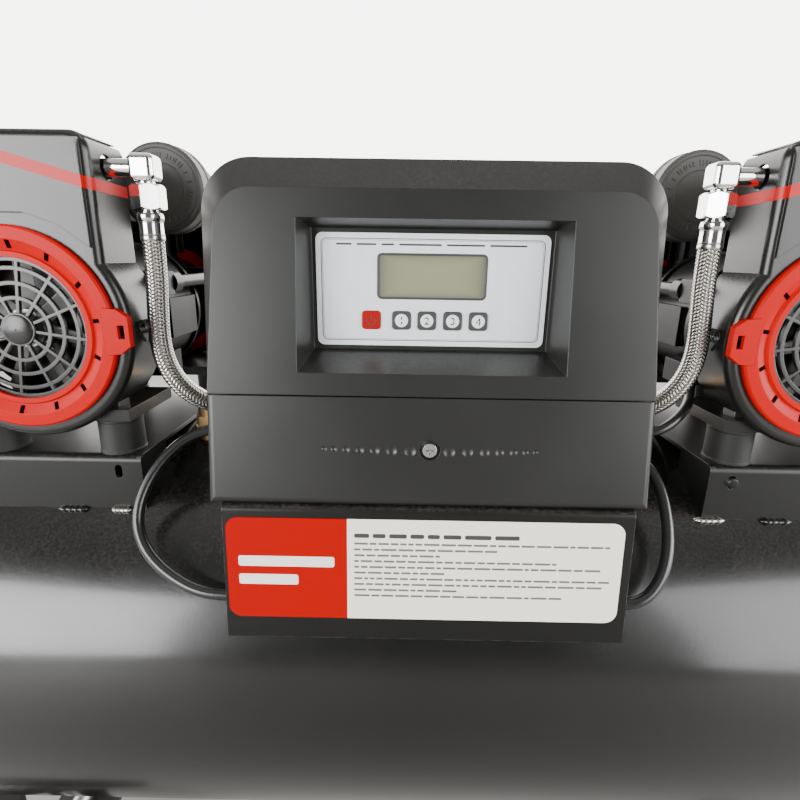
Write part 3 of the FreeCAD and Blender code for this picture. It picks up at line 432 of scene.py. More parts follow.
def frame_band(outer, inner, front, back):
    """Flat band between two outlines of the same count, from y = front to y = back."""
    count = len(outer)
    loops = ((outer, front), (inner, front), (inner, back), (outer, back))
    points = [Vector((x, y, z)) for outline, y in loops for x, z in outline]
    faces = []
    for index in range(count):
        after = (index + 1) % count
        for level in range(4):
            low, high = level * count, (level + 1) % 4 * count
            faces.append((low + index, low + after, high + after, high + index))
    return points, faces


def slab(outline, front, back):
    """Flat plate of an (x, z) outline, from y = front to y = back."""
    count = len(outline)
    points = [Vector((x, y, z)) for y in (front, back) for x, z in outline]
    faces = [tuple(range(count)), tuple(range(2 * count - 1, count - 1, -1))]
    for index in range(count):
        after = (index + 1) % count
        faces.append((index, count + index, count + after, after))
    return points, faces


def bar(x0, x1, z0, z1, front, back):
    return slab([(x0, z0), (x1, z0), (x1, z1), (x0, z1)], front, back)


def swept(points, radii, sides=10, squash=1.0, up=Vector((0, 0, 1))):
    """Closed rod along points, with a radius at each; squash flattens it along up."""
    points = [Vector(point) for point in points]
    found = []
    faces = []
    for index, point in enumerate(points):
        ahead = points[min(index + 1, len(points) - 1)] - points[max(index - 1, 0)]
        ahead.normalize()
        side = ahead.cross(up)
        side = side.normalized() if side.length > 1e-6 else Vector((1, 0, 0))
        rise = side.cross(ahead)
        for step in range(sides):
            angle = TAU * step / sides
            found.append(point + radii[index] * (math.cos(angle) * side + squash * math.sin(angle) * rise))
    for index in range(len(points) - 1):
        for step in range(sides):
            after = (step + 1) % sides
            low, high = index * sides, (index + 1) * sides
            faces.append((low + step, low + after, high + after, high + step))
    faces.append(tuple(range(sides))[::-1])
    last = (len(points) - 1) * sides
    faces.append(tuple(range(last, last + sides)))
    return found, faces


def moved(shape, matrix):
    points, faces = shape
    flipped = matrix.determinant() < 0
    return [matrix @ Vector(p) for p in points], [face[::-1] for face in faces] if flipped else faces


def lettering(text, height, thickness, bold=0.0):
    """Upright figures in the XZ plane facing -Y, centred, their back at y = 0."""
    curve = bpy.data.curves.new("figures", "FONT")
    curve.body = text
    curve.size = 1.0
    curve.align_x = "CENTER"
    curve.offset = bold
    curve.resolution_u = 4
    holder = bpy.data.objects.new("figures", curve)
    bpy.context.scene.collection.objects.link(holder)
    bpy.context.view_layer.update()
    flat = bpy.data.meshes.new_from_object(holder)
    found = np.array([v.co for v in flat.vertices])
    low, high = found.min(0), found.max(0)
    scale = height / (high[1] - low[1])
    middle = (low + high) / 2
    at = [((p[0] - middle[0]) * scale, (p[1] - middle[1]) * scale) for p in found]
    count = len(at)
    points = [Vector((x, -thickness, z)) for x, z in at] + [Vector((x, 0, z)) for x, z in at]
    faces = []
    edge_use = {}
    for polygon in flat.polygons:
        loop = tuple(polygon.vertices)
        faces.append(loop)
        faces.append(tuple(count + index for index in reversed(loop)))
        for first, second in zip(loop, loop[1:] + loop[:1]):
            edge_use[(first, second)] = edge_use.get((first, second), 0) + 1
    for first, second in edge_use:
        if (second, first) not in edge_use:
            faces.append((second, first, count + first, count + second))
    bpy.data.objects.remove(holder)
    bpy.data.meshes.remove(flat)
    bpy.data.curves.remove(curve)
    return points, faces


def pump_matrix(number, rear=False):
    """From a pump's own place, front facing -Y and the box on its +X side, to the machine's."""
    shaft = SHAFTS[number]
    side = -1.0 if shaft.x > 0 else 1.0
    turn = Matrix.Diagonal((side, -1.0 if rear else 1.0, 1.0, 1.0))
    return Matrix.Translation(shaft) @ turn


def on_every_pump(shape, rear_too=True):
    """The same shape at the front, and the rear too, of all four pumps."""
    parts = []
    for number in SHAFTS:
        for rear in ((False, True) if rear_too else (False,)):
            parts.append(moved(shape, pump_matrix(number, rear)))
    return joined(parts)


def check_size(node, label, size, axis, slack=0.002):
    """Raises an error when a CAD node isn't the size a piece is made for."""
    low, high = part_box(node)
    found = (high - low)[axis]
    if abs(found - size) > slack:
        raise RuntimeError("%s is made for a %s %.1f mm across, and it is %.1f mm"
                           % (label, node, size / MM, found / MM))


# ---------------------------------------------------------------- operators
class COMPRESSOR_OT_studio(bpy.types.Operator):
    """Camera, pale floor and soft light"""
    bl_idname = "compressor.studio"
    bl_label = "Studio"

    # name, place, width and height in metres, and power in watts
    LAMPS = (("window_left", (-2.2, -2.6, 1.1), (2.0, 1.7), 165.0),
             ("window_right", (2.3, -2.5, 1.3), (1.6, 2.2), 85.0),
             ("side_right", (2.7, -0.9, 1.1), (1.4, 1.4), 75.0),
             ("side_left", (-2.7, -0.8, 1.1), (1.4, 1.4), 45.0))
    AIM = (0, 0, 0.65)       # the middle of the control box

    def execute(self, context):
        studio = context.scene.compressor_studio
        self.add_camera(context, studio)
        self.add_floor(studio)
        self.add_light(context, studio)
        return {"FINISHED"}

    def add_camera(self, context, studio):
        camera = bpy.data.objects.new("camera", bpy.data.cameras.new("camera"))
        context.scene.collection.objects.link(camera)
        camera.data.lens = studio.lens
        camera.data.sensor_width = 36.0
        camera.data.clip_start = 0.01
        level = Matrix.Rotation(math.pi / 2 - studio.pitch, 4, "X")
        turn = Matrix.Rotation(studio.yaw, 4, "Z")
        tilt = Matrix.Rotation(studio.roll, 4, "Z")
        camera.matrix_world = Matrix.Translation(studio.eye) @ turn @ level @ tilt
        context.scene.camera = camera

    def add_floor(self, studio):
        half = studio.floor_size / 2
        finish("floor_paint", studio.floor_colour, 0.55, grain=4.0, depth=0.02, mottle=0.05, edge=0.0)
        mesh = make_mesh("floor", [(-half, -half, 0), (half, -half, 0), (half, half, 0), (-half, half, 0)],
                         [(0, 1, 2, 3)])
        mesh.materials.append(finish_named("floor_paint"))
        floor = bpy.data.objects.new("floor", mesh)
        bpy.context.scene.collection.objects.link(floor)

    def add_light(self, context, studio):
        """A pale wall behind, a dim surround, a soft ceiling and four area lamps."""
        world = bpy.data.worlds.new("soft_surround")
        world.use_nodes = True
        tree = world.node_tree
        background = tree.nodes["Background"]
        background.inputs["Color"].default_value = (*studio.sky_colour, 1.0)
        split = tree.nodes.new("ShaderNodeSeparateXYZ")
        link(tree, tree.nodes.new("ShaderNodeTexCoord").outputs["Generated"], split.inputs[0])
        height = sums(tree, "ABSOLUTE", split.outputs[2])
        behind = sums(tree, "MULTIPLY_ADD", split.outputs[1], 1.8, 0.1)
        bright = sums(tree, "MULTIPLY_ADD", height, -1.3, behind, clamp=True)
        reach = studio.bright_side - studio.dim_side
        overhead = sums(tree, "MULTIPLY_ADD", split.outputs[2], 3.0, -1.8, clamp=True)
        base = sums(tree, "MULTIPLY_ADD", overhead, 0.7, studio.dim_side)
        link(tree, sums(tree, "MULTIPLY_ADD", bright, reach, base), background.inputs["Strength"])
        context.scene.world = world
        for name, spot, size, power in self.LAMPS:
            lamp = bpy.data.lights.new(name, "AREA")
            lamp.shape = "RECTANGLE"
            lamp.size, lamp.size_y = size
            lamp.energy = power
            holder = bpy.data.objects.new(name, lamp)
            holder.location = spot
            towards = Vector(self.AIM) - Vector(spot)
            holder.rotation_euler = towards.to_track_quat("-Z", "Y").to_euler()
            context.scene.collection.objects.link(holder)


class COMPRESSOR_OT_finishes(bpy.types.Operator):
    """Shared shader effects and every finish"""
    bl_idname = "compressor.finishes"
    bl_label = "Finishes"

    def execute(self, context):
        surface_grain_group()
        edge_wear_group()
        settled_dust_group()
        tone = context.scene.compressor_finishes
        finish("tank_gloss", tone.tank_black, 0.24, grain=2.6, depth=0.05, mottle=0.5, dust=0.12, coat=0.35,
               edge=0.0, spread=0.3)
        finish("powder_coat", tone.sheet_black, 0.34, grain=0.9, depth=0.03, mottle=0.5, wear=0.55,
               dust=0.15, edge=0.8, shine=0.35)
        finish("box_plastic", tone.box_black, 0.34, grain=0.55, depth=0.022, mottle=0.35, wear=0.10,
               worn=(0.10, 0.10, 0.09), dust=0.10, edge=0.9, spread=0.35)
        finish("cast_paint", tone.cast_black, 0.34, grain=0.8, depth=0.05, mottle=0.5, wear=0.22,
               dust=0.15, edge=0.7, shine=0.3)
        finish("cowl_plastic", tone.cowl_grey, 0.26, grain=0.42, depth=0.030, mottle=0.45, wear=0.15,
               worn=(0.12, 0.115, 0.11), dust=0.18, edge=0.9)
        finish("rubber", tone.rubber_black, 0.60, grain=0.5, depth=0.03, mottle=0.6, dust=0.5, edge=0.8)
        finish("red_plastic", tone.trim_red, 0.38, grain=0.8, depth=0.008, mottle=0.10, edge=0.9,
               shine=0.10, wear=0.12, worn=(0.60, 0.06, 0.05))
        finish("red_tape", tone.trim_red, 0.38, grain=0.5, depth=0.01, mottle=0.2, edge=0.0, shine=0.3)
        # Near-black: painted shade in the fan ring and clip tab slots, and the gauge needle's own black.
        finish("slot_shade_and_needle_black", (0.003, 0.003, 0.003), 0.6, grain=0.5, depth=0.01, edge=0.0, shine=0.0)
        finish("key_red", tone.key_red, 0.33, grain=0.3, depth=0.006, mottle=0.12, edge=1.0, shine=0.25)
        finish("key_grey", (0.045, 0.047, 0.047), 0.38, grain=0.3, depth=0.006, mottle=0.2, edge=1.0)
        finish("key_white", (0.80, 0.80, 0.79), 0.36, grain=0.3, depth=0.004, mottle=0.06, edge=0.2)
        finish("print_ink", tone.ink, 0.45, grain=0.3, depth=0.004, mottle=0.3, edge=0.0)
        finish("print_grey", (0.11, 0.11, 0.11), 0.5, grain=0.3, depth=0.004, mottle=0.4, edge=0.0)
        finish("print_white", (0.86, 0.84, 0.79), 0.42, grain=0.4, depth=0.004, mottle=0.06, edge=0.0)
        finish("chrome", tone.chrome, 0.09, 1.0, grain=1.2, depth=0.010, mottle=0.20, edge=0.7, spread=0.35)
        finish("satin_steel", (0.56, 0.54, 0.50), 0.24, 1.0, grain=0.7, depth=0.012, mottle=0.3, edge=0.5)
        finish("weld_metal", (0.62, 0.60, 0.56), 0.26, 1.0, grain=1.2, depth=0.05, mottle=0.5, edge=0.0)
        finish("zinc", tone.zinc, 0.34, 1.0, grain=0.8, depth=0.012, mottle=0.4, edge=0.5, dust=0.1)
        finish("brass", tone.brass, 0.30, 1.0, grain=0.8, depth=0.015, mottle=0.5, edge=0.6, dust=0.1)
        finish("copper", (0.52, 0.20, 0.09), 0.32, 1.0, grain=0.35, depth=0.05, mottle=0.5, edge=0.0)
        finish("alloy", (0.42, 0.42, 0.41), 0.42, 1.0, grain=0.6, depth=0.03, mottle=0.4, edge=0.5)
        finish("rim_paint", (0.33, 0.33, 0.32), 0.36, 0.5, grain=0.7, depth=0.02, mottle=0.3, edge=0.8,
               wear=0.3)
        finish("board_green", (0.01, 0.09, 0.03), 0.4, grain=0.6, depth=0.01, mottle=0.3, edge=0.0)
        finish("cable_jacket", (0.012, 0.012, 0.012), 0.27, grain=2.0, depth=0.03, mottle=0.4, edge=0.0,
               coat=0.2)
        finish("hose_lining", (0.020, 0.019, 0.018), 0.6, grain=0.5, depth=0.02, edge=0.0)
        finish("lever_red", tone.trim_red, 0.36, grain=0.5, depth=0.01, mottle=0.2, edge=0.8, wear=0.4)
        finish("filter_plastic", (0.050, 0.048, 0.044), 0.46, grain=0.36, depth=0.03, mottle=0.4,
               dust=0.25, edge=0.9, wear=0.12, worn=(0.12, 0.115, 0.11))
        self.fascia(tone)
        self.display(tone)
        self.label(tone)
        self.braid(tone)
        return {"FINISHED"}

    def fascia(self, tone):
        """Printed film with a faint upright brushing."""
        def paint(tree):
            stretch = tree.nodes.new("ShaderNodeMapping")
            link(tree, tree.nodes.new("ShaderNodeTexCoord").outputs["Object"], stretch.inputs[0])
            stretch.inputs["Scale"].default_value = (1.0, 1.0, 0.03)
            streaks = noise(tree, 900.0, 2.0, stretch.outputs[0])
            darker = tuple(channel * 0.90 for channel in tone.fascia_grey)
            return mixed(tree, streaks, tone.fascia_grey, darker)
        finish("fascia_film", tone.fascia_grey, 0.30, grain=0.35, depth=0.006, mottle=0.06, edge=0.4,
               paint=paint)

    def display(self, tone):
        """Olive display behind clear plastic, with painted shade of its recess darkening it towards its
        border.
        """
        low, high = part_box("lcd_window")
        middle = (low + high) / 2
        half = (high - low) / 2

        def paint(tree):
            spot = place(tree)
            reach = []
            for axis in (0, 2):
                away = sums(tree, "ABSOLUTE", sums(tree, "SUBTRACT", spot[axis], middle[axis]))
                reach.append(sums(tree, "POWER", sums(tree, "DIVIDE", away, half[axis]), 5.0))
            # Painted shade: the colour turns to a dark olive towards the display's border, standing in for
            # the recess's shadow.
            painted_rim_shade = sums(tree, "MULTIPLY", sums(tree, "MAXIMUM", reach[0], reach[1]), 0.75, clamp=True)
            return mixed(tree, painted_rim_shade, tone.display_olive, (0.075, 0.072, 0.060))
        finish("display_glass", tone.display_olive, 0.26, grain=6.0, depth=0.004, mottle=0.15, edge=0.0,
               coat=0.6, paint=paint)

    def label(self, tone):
        """Film label, red at its left end and cream to the right of a straight line."""
        low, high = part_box("notice_label")
        split = low.x + (high.x - low.x) * LABEL_SPLIT

        def paint(tree):
            right = sums(tree, "GREATER_THAN", place(tree)[0], split)
            return mixed(tree, right, tone.label_red, tone.label_cream)
        finish("label_film", tone.label_cream, 0.34, grain=1.0, depth=0.004, mottle=0.07, edge=0.0,
               shine=0.05, paint=paint)

    def braid(self, tone):
        """Bundles of fine bright wire, with painted shade where they dip under each other and in the grooves
        between wires.
        """
        tree, shader = blank_material("braid_wire")
        across = tree.nodes.new("ShaderNodeAttribute")
        across.attribute_name = "across"
        lift = tree.nodes.new("ShaderNodeAttribute")
        lift.attribute_name = "lift"
        wires = sums(tree, "COSINE", sums(tree, "MULTIPLY", across.outputs["Fac"], 6 * math.pi))
        height = sums(tree, "MULTIPLY_ADD", wires, 0.5, 0.5)
        patches = noise(tree, 260.0, 3.0)
        # Painted shade: the braid's colour is darker where a bundle dips under the other way.
        deep = sums(tree, "SUBTRACT", 1.0, lift.outputs["Fac"], clamp=True)
        painted_dip_shade = sums(tree, "MULTIPLY_ADD", deep, 1.0, sums(tree, "MULTIPLY", patches, 0.05), clamp=True)
        # Painted shade in the grooves between the wires of a bundle.
        painted_groove_shade = sums(tree, "MULTIPLY_ADD", height, -0.10, 0.10)
        shaded = sums(tree, "ADD", painted_dip_shade, painted_groove_shade, clamp=True)
        # The near-black colour mixed in here is painted shade, not a colour of the wire.
        link(tree, mixed(tree, shaded, tone.braid, (0.03, 0.027, 0.022)), shader.inputs["Base Color"])
        link(tree, sums(tree, "MULTIPLY_ADD", patches, 0.15, 0.17), shader.inputs["Roughness"])
        link(tree, bumped(tree, height, 0.03 * MM), shader.inputs["Normal"])
        shader.inputs["Metallic"].default_value = 1.0


class COMPRESSOR_OT_hoses(bpy.types.Operator):
    """Four braided delivery hoses, on the CAD routes"""
    bl_idname = "compressor.hoses"
    bl_label = "Braided hoses"

    def execute(self, context):
        trim = context.scene.compressor_trim
        routes = {"hose_1": OUTER_HOSE, "hose_2": INNER_HOSE, "hose_3": mirrored(INNER_HOSE),
                  "hose_4": mirrored(OUTER_HOSE)}
        under = trim.bundle_thickness / 2 + trim.weave_lift
        for name, route in routes.items():
            hose = add_route(name + "_hose", route, "hose_lining")
            line = route_line(hose)
            hose.data.bevel_depth = trim.hose_diameter / 2 - under
            braid = self.weave(name + "_braid", line, trim)
            tie_cord(hose, name)
        return {"FINISHED"}

    def weave(self, name, line, trim):
        """Flat bundles wound both ways round the line, two over and two under."""
        pitch = TAU * (trim.hose_diameter / 2) / math.tan(trim.braid_angle)
        spots, side, rise, along = even_frames(line, 0.9 * MM)
        middle = trim.hose_diameter / 2 - trim.weave_lift - trim.bundle_thickness / 2
        count = trim.carriers
        gap = TAU / count
        half_width = 0.42 * TAU * middle / count * math.cos(trim.braid_angle)
        section = ((-1.0, 0.0), (-0.5, 0.5), (0.5, 0.5), (1.0, 0.0), (0.0, -0.4))
        points = []
        faces = []
        across = []
        lift = []
        for way in (-1, 1):
            for carrier in range(count):
                angle = gap * carrier + way * TAU * along / pitch
                other = (angle + way * TAU * along / pitch) / gap
                wave = way * np.sin(TAU * (carrier + other + 0.5) / 4)
                radius = middle + trim.weave_lift * wave
                outward = np.cos(angle)[:, None] * side + np.sin(angle)[:, None] * rise
                round_way = -np.sin(angle)[:, None] * side + np.cos(angle)[:, None] * rise
                track = spots + radius[:, None] * outward
                step = np.gradient(track, axis=0)
                step /= np.linalg.norm(step, axis=1)[:, None]
                width_way = np.cross(outward, step)
                width_way /= np.linalg.norm(width_way, axis=1)[:, None]
                width_way *= np.sign((width_way * round_way).sum(1))[:, None]
                start = len(points)
                for reach, height in section:
                    row = track + reach * half_width * width_way + height * trim.bundle_thickness * outward
                    points.extend(row.tolist())
                    across.extend([reach] * len(row))
                    lift.extend((0.5 + 0.5 * wave).tolist())
                rows = len(section)
                length = len(track)
                for row in range(rows):
                    low, high = start + row * length, start + (row + 1) % rows * length
                    faces += [(low + k, high + k, high + k + 1, low + k + 1) for k in range(length - 1)]
                faces.append(tuple(start + row * length for row in range(rows)))
                faces.append(tuple(start + (rows - 1 - row) * length + length - 1 for row in range(rows)))
        mesh = make_mesh(name, points, faces, sharp=80.0)
        for label, values in (("across", across), ("lift", lift)):
            mesh.attributes.new(label, "FLOAT", "POINT").data.foreach_set("value", values)
        return add_piece(name, mesh, "braid_wire")


def mirrored(route):
    return [(-x, y, z) for x, y, z in route]


def add_route(name, route, material):
    """Smooth curve of one open spline with the route as its control points."""
    curve = bpy.data.curves.new(name, "CURVE")
    curve.dimensions = "3D"
    curve.resolution_u = 10
    curve.bevel_resolution = 6
    curve.use_fill_caps = True
    spline = curve.splines.new("NURBS")
    spline.points.add(len(route) - 1)
    for point, spot in zip(spline.points, route):
        point.co = (*spot, 1.0)
    spline.order_u = 3
    spline.use_endpoint_u = True
    curve.materials.append(finish_named(material))
    piece = bpy.data.objects.new(name, curve)
    bpy.context.scene.collection.objects.link(piece)
    return piece


def route_line(piece):
    """Points of the curve's own centre line, as an array."""
    bpy.context.view_layer.update()
    mesh = bpy.data.meshes.new_from_object(piece)
    line = np.array([vertex.co for vertex in mesh.vertices])
    bpy.data.meshes.remove(mesh)
    return line


def even_frames(line, spacing):
    """Evenly spaced points with their side and rise, and the distance along."""
    steps = np.linalg.norm(np.diff(line, axis=0), axis=1)
    reach = np.concatenate([[0.0], np.cumsum(steps)])
    along = np.linspace(0.0, reach[-1], int(reach[-1] / spacing) + 1)
    spots = np.stack([np.interp(along, reach, line[:, axis]) for axis in range(3)], axis=1)
    ahead = np.gradient(spots, axis=0)
    ahead /= np.linalg.norm(ahead, axis=1)[:, None]
    side = np.zeros_like(spots)
    current = np.cross(ahead[0], (0.3, 1.0, 0.1))
    for index, direction in enumerate(ahead):
        current = current - direction * current.dot(direction)
        current /= np.linalg.norm(current)
        side[index] = current
    return spots, side, np.cross(ahead, side), along


def tie_cord(piece, node):
    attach(piece, ROOT)
    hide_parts(node)


class COMPRESSOR_OT_cables(bpy.types.Operator):
    """Two control cables and the lead to the right motor"""
    bl_idname = "compressor.cables"
    bl_label = "Cables"

    def execute(self, context):
        trim = context.scene.compressor_trim
        cables = {"cable_left": (LEFT_CABLE, trim.cable_diameter),
                  "cable_right": (RIGHT_CABLE, trim.cable_diameter),
                  "motor_lead": (MOTOR_LEAD, trim.lead_diameter)}
        for name, (route, diameter) in cables.items():
            cable = add_route(name + "_jacket", route, "cable_jacket")
            line = route_line(cable)
            cable.data.bevel_depth = diameter / 2
            tie_cord(cable, name)
        return {"FINISHED"}


class COMPRESSOR_OT_cad_finishes(bpy.types.Operator):
    """Puts its finish on every CAD node that stays"""
    bl_idname = "compressor.cad_finishes"
    bl_label = "Finish the CAD nodes"

    FINISHES = {
        "tank": "tank_gloss", "pump_decks": "powder_coat", "legs": "powder_coat", "handle": "powder_coat",
        "control_bracket": "powder_coat", "rubber_feet": "rubber", "rubber_mounts": "rubber",
        "axle": "zinc", "fasteners": "zinc", "wheel_rim_front": "rim_paint",
        "wheel_rim_rear": "rim_paint", "tyre_front": "rubber", "tyre_rear": "rubber",
        "fan_rings": "red_plastic", "stators": "copper", "intake_filters": "filter_plastic",
        "crossover_pipes": "cast_paint", "hose_fittings": "chrome", "cable_glands": "cowl_plastic",
        "tank_fittings": "brass", "valve_lever": "lever_red", "front_cover": "box_plastic",
        "terminal_cover": "box_plastic", "box_base": "box_plastic", "fascia": "fascia_film",
        "lcd_window": "display_glass", "circuit_board": "board_green", "power_key": "key_red",
        "key_1": "key_grey", "key_2": "key_grey", "key_3": "key_grey", "key_4": "key_grey",
        "notice_label": "label_film",
    }
    PUMP_FINISHES = {"casing": "cast_paint", "cowls": "cowl_plastic", "rotor": "alloy",
                     "piston_front": "alloy", "piston_rear": "alloy"}
    CORDS = ("hose_1", "hose_2", "hose_3", "hose_4", "cable_left", "cable_right", "motor_lead")

    def execute(self, context):
        finishes = dict(self.FINISHES)
        for number in SHAFTS:
            for part, material in self.PUMP_FINISHES.items():
                finishes["pump_%d_%s" % (number, part)] = material
        bare = sorted(set(NODES) - set(finishes) - set(self.CORDS))
        if bare:
            raise RuntimeError("no finish is given for %s" % ", ".join(bare))
        for name, material in finishes.items():
            slots = NODES[name].data.materials
            slots.clear()
            slots.append(finish_named(material))
        return {"FINISHED"}


class COMPRESSOR_OT_fan_fronts(bpy.types.Operator):
    """Dark pieces of painted shade in the slots of the red rings, hub caps on the grilles and the spring
    clips beside them
    """
    bl_idname = "compressor.fan_fronts"
    bl_label = "Fan fronts"

    FACE = -0.138        # front plane of a cowl, from the pump's middle
    SLOT_MIDDLE = 0.0632
    CONE_FOOT = (0.059, 0.0012)      # radius and height where the ring's cone begins
    CONE_RISE = 0.475
    TAB_SLOTS = (0.0796, -0.0844)    # X where the slot in each clip tab begins
    CLIP_X = 0.0900
    CLIP_TURNS, CLIP_STEPS = 3, 40
    CLIP_WIRE = 0.0011

    def execute(self, context):
        trim = context.scene.compressor_trim
        check_size("fan_rings", "the fan front", 0.288, 1)
        slots = []
        for index in range(trim.slot_count):
            angle = TAU * (index + 0.28) / trim.slot_count
            slots.append(moved(self.slot(trim), Matrix.Rotation(-angle, 4, "Y")))
        # Dark bars of painted shade in the slots of the clip tabs.
        for near in self.TAB_SLOTS:
            slots.append(bar(near, near + 0.0048, -0.0049, 0.0049, self.FACE - 0.0028, self.FACE - 0.0005))
        add_piece("ring_slot_shade", on_every_pump(joined(slots)), "slot_shade_and_needle_black",
                  round_edge=0.2 * MM)
        cap = turned_ring([(0.0005, -0.0002), (0.0112, -0.0002), (0.0112, -0.0016), (0.0085, -0.0026),
                           (0.0005, -0.0030)], (0, self.FACE, 0))
        groove = turned_ring([(0.0112, 0.0), (0.0128, 0.0), (0.0128, -0.0008), (0.0112, -0.0008)],
                             (0, self.FACE, 0))
        add_piece("grille_caps", on_every_pump(joined([cap, groove])), "cowl_plastic")
        clip_line = []
        last = self.CLIP_STEPS - 1
        for step in range(self.CLIP_STEPS):
            turn = TAU * self.CLIP_TURNS * step / last
            clip_line.append((self.CLIP_X + 0.0030 * math.cos(turn), -0.1270 + 0.010 * step / last,
                              0.002 + 0.0045 * math.sin(turn)))
        clip_line += [(self.CLIP_X, -0.1160, -0.006), (self.CLIP_X - 0.0020, -0.1140, -0.012)]
        clip = swept(clip_line, [self.CLIP_WIRE] * len(clip_line), sides=8)
        add_piece("spring_clips", on_every_pump(clip), "cable_jacket", sharp=80.0)
        return {"FINISHED"}

    def slot(self, trim):
        """One dark block of painted shade where a slot opens, lying along the cone of the ring."""
        half = trim.slot_length / 2
        low, high = self.SLOT_MIDDLE - half, self.SLOT_MIDDLE + half
        points = []
        for x in (low, high):
            height = self.CONE_FOOT[1] + (x - self.CONE_FOOT[0]) * self.CONE_RISE
            for z in (-0.0015, 0.0015):
                for proud in (0.0, 0.0014):
                    points.append(Vector((x, self.FACE - height - 0.0006 + proud, z)))
        faces = [(0, 4, 6, 2), (1, 3, 7, 5), (0, 1, 5, 4), (2, 6, 7, 3), (0, 2, 3, 1), (4, 5, 7, 6)]
        return points, faces


class COMPRESSOR_OT_cowl_stripes(bpy.types.Operator):
    """Red tape that slants over each cowl's head panel and round onto its side"""
    bl_idname = "compressor.cowl_stripes"
    bl_label = "Cowl stripes"

    # The cowl's planes, from the pump's middle
    PANEL, FACE, SIDE_X = -0.141, -0.138, 0.071
    CORNER = 0.006
    START_X, PANEL_END, END_Y = -0.020, 0.0663, -0.0885
    LIFT, THICKNESS = 0.0003, 0.0006

    def execute(self, context):
        trim = context.scene.compressor_trim
        half = trim.stripe_height / 2
        line = self.path()
        points = []
        faces = []
        for index, (x, y, z) in enumerate(line):
            ahead = Vector(line[min(index + 1, len(line) - 1)]) - Vector(line[max(index - 1, 0)])
            out = Vector((ahead.y, -ahead.x, 0)).normalized()
            for z_part in (-half, half):
                points.append(Vector((x, y, z + z_part)))
                points.append(Vector((x, y, z + z_part)) - self.THICKNESS * out)
        for index in range(len(line) - 1):
            low, high = 4 * index, 4 * index + 4
            faces += [(low, high, high + 2, low + 2), (low + 1, low + 3, high + 3, high + 1),
                      (low, low + 1, high + 1, high), (low + 2, high + 2, high + 3, low + 3)]
        last = 4 * (len(line) - 1)
        faces += [(0, 2, 3, 1), (last, last + 1, last + 3, last + 2)]
        add_piece("cowl_stripes", on_every_pump((points, faces)), "red_tape")
        return {"FINISHED"}

    def path(self):
        """Down the head panel, back to the cowl's face, round its corner and along its side."""
        panel = self.PANEL - self.LIFT
        line = [(self.START_X, panel, 0.1304), (self.PANEL_END, panel, 0.1062),
                (self.PANEL_END, self.FACE + 0.0004, 0.1062)]
        reach = self.CORNER + self.LIFT
        for step in range(7):
            angle = math.pi / 2 * step / 6
            line.append((self.SIDE_X - self.CORNER + reach * math.sin(angle),
                         self.FACE + self.CORNER - reach * math.cos(angle), 0.1060 - 0.0010 * step / 6))
        line.append((self.SIDE_X + self.LIFT, self.END_Y, 0.1042))
        return line


class COMPRESSOR_OT_filters(bpy.types.Operator):
    """Raised rings and plain ticks on the fronts of the four intake filters"""
    bl_idname = "compressor.filters"
    bl_label = "Intake filters"

    X, Z = 0.080, 0.113      # canister axis from the shaft
    CAP_Y = -0.048           # front face of the canister
    RINGS = ((0.0322, 0.0011, 0.0005), (0.0205, 0.0009, 0.0004))      # radius, width, height
    TICKS = 60
    LONG_TICK, SHORT_TICK = (0.0246, 0.0290), (0.0252, 0.0284)        # inner and outer radius
    TICK_RADIUS = 0.00055

    def execute(self, context):
        parts = []
        centre = (self.X, self.CAP_Y, self.Z)
        for radius, width, proud in self.RINGS:
            parts.append(turned_ring([(radius, 0.0003), (radius, -proud),
                                      (radius + width * 0.3, -proud * 1.4),
                                      (radius + width * 0.7, -proud * 1.4), (radius + width, -proud),
                                      (radius + width, 0.0003)], centre, steps=72))
        dice = random.Random(7)
        for index in range(self.TICKS):
            angle = TAU * (index + dice.uniform(-0.2, 0.2)) / self.TICKS
            if dice.random() < 0.25:
                continue
            tick = self.LONG_TICK if dice.random() < 0.6 else self.SHORT_TICK
            ends = [(self.X + reach * math.cos(angle), self.CAP_Y - 0.0001,
                     self.Z + reach * math.sin(angle)) for reach in tick]
            parts.append(swept(ends, [self.TICK_RADIUS] * 2, sides=6, up=Vector((0, 1, 0))))
        add_piece("filter_ribs", on_every_pump(joined(parts), rear_too=False), "filter_plastic")
        return {"FINISHED"}


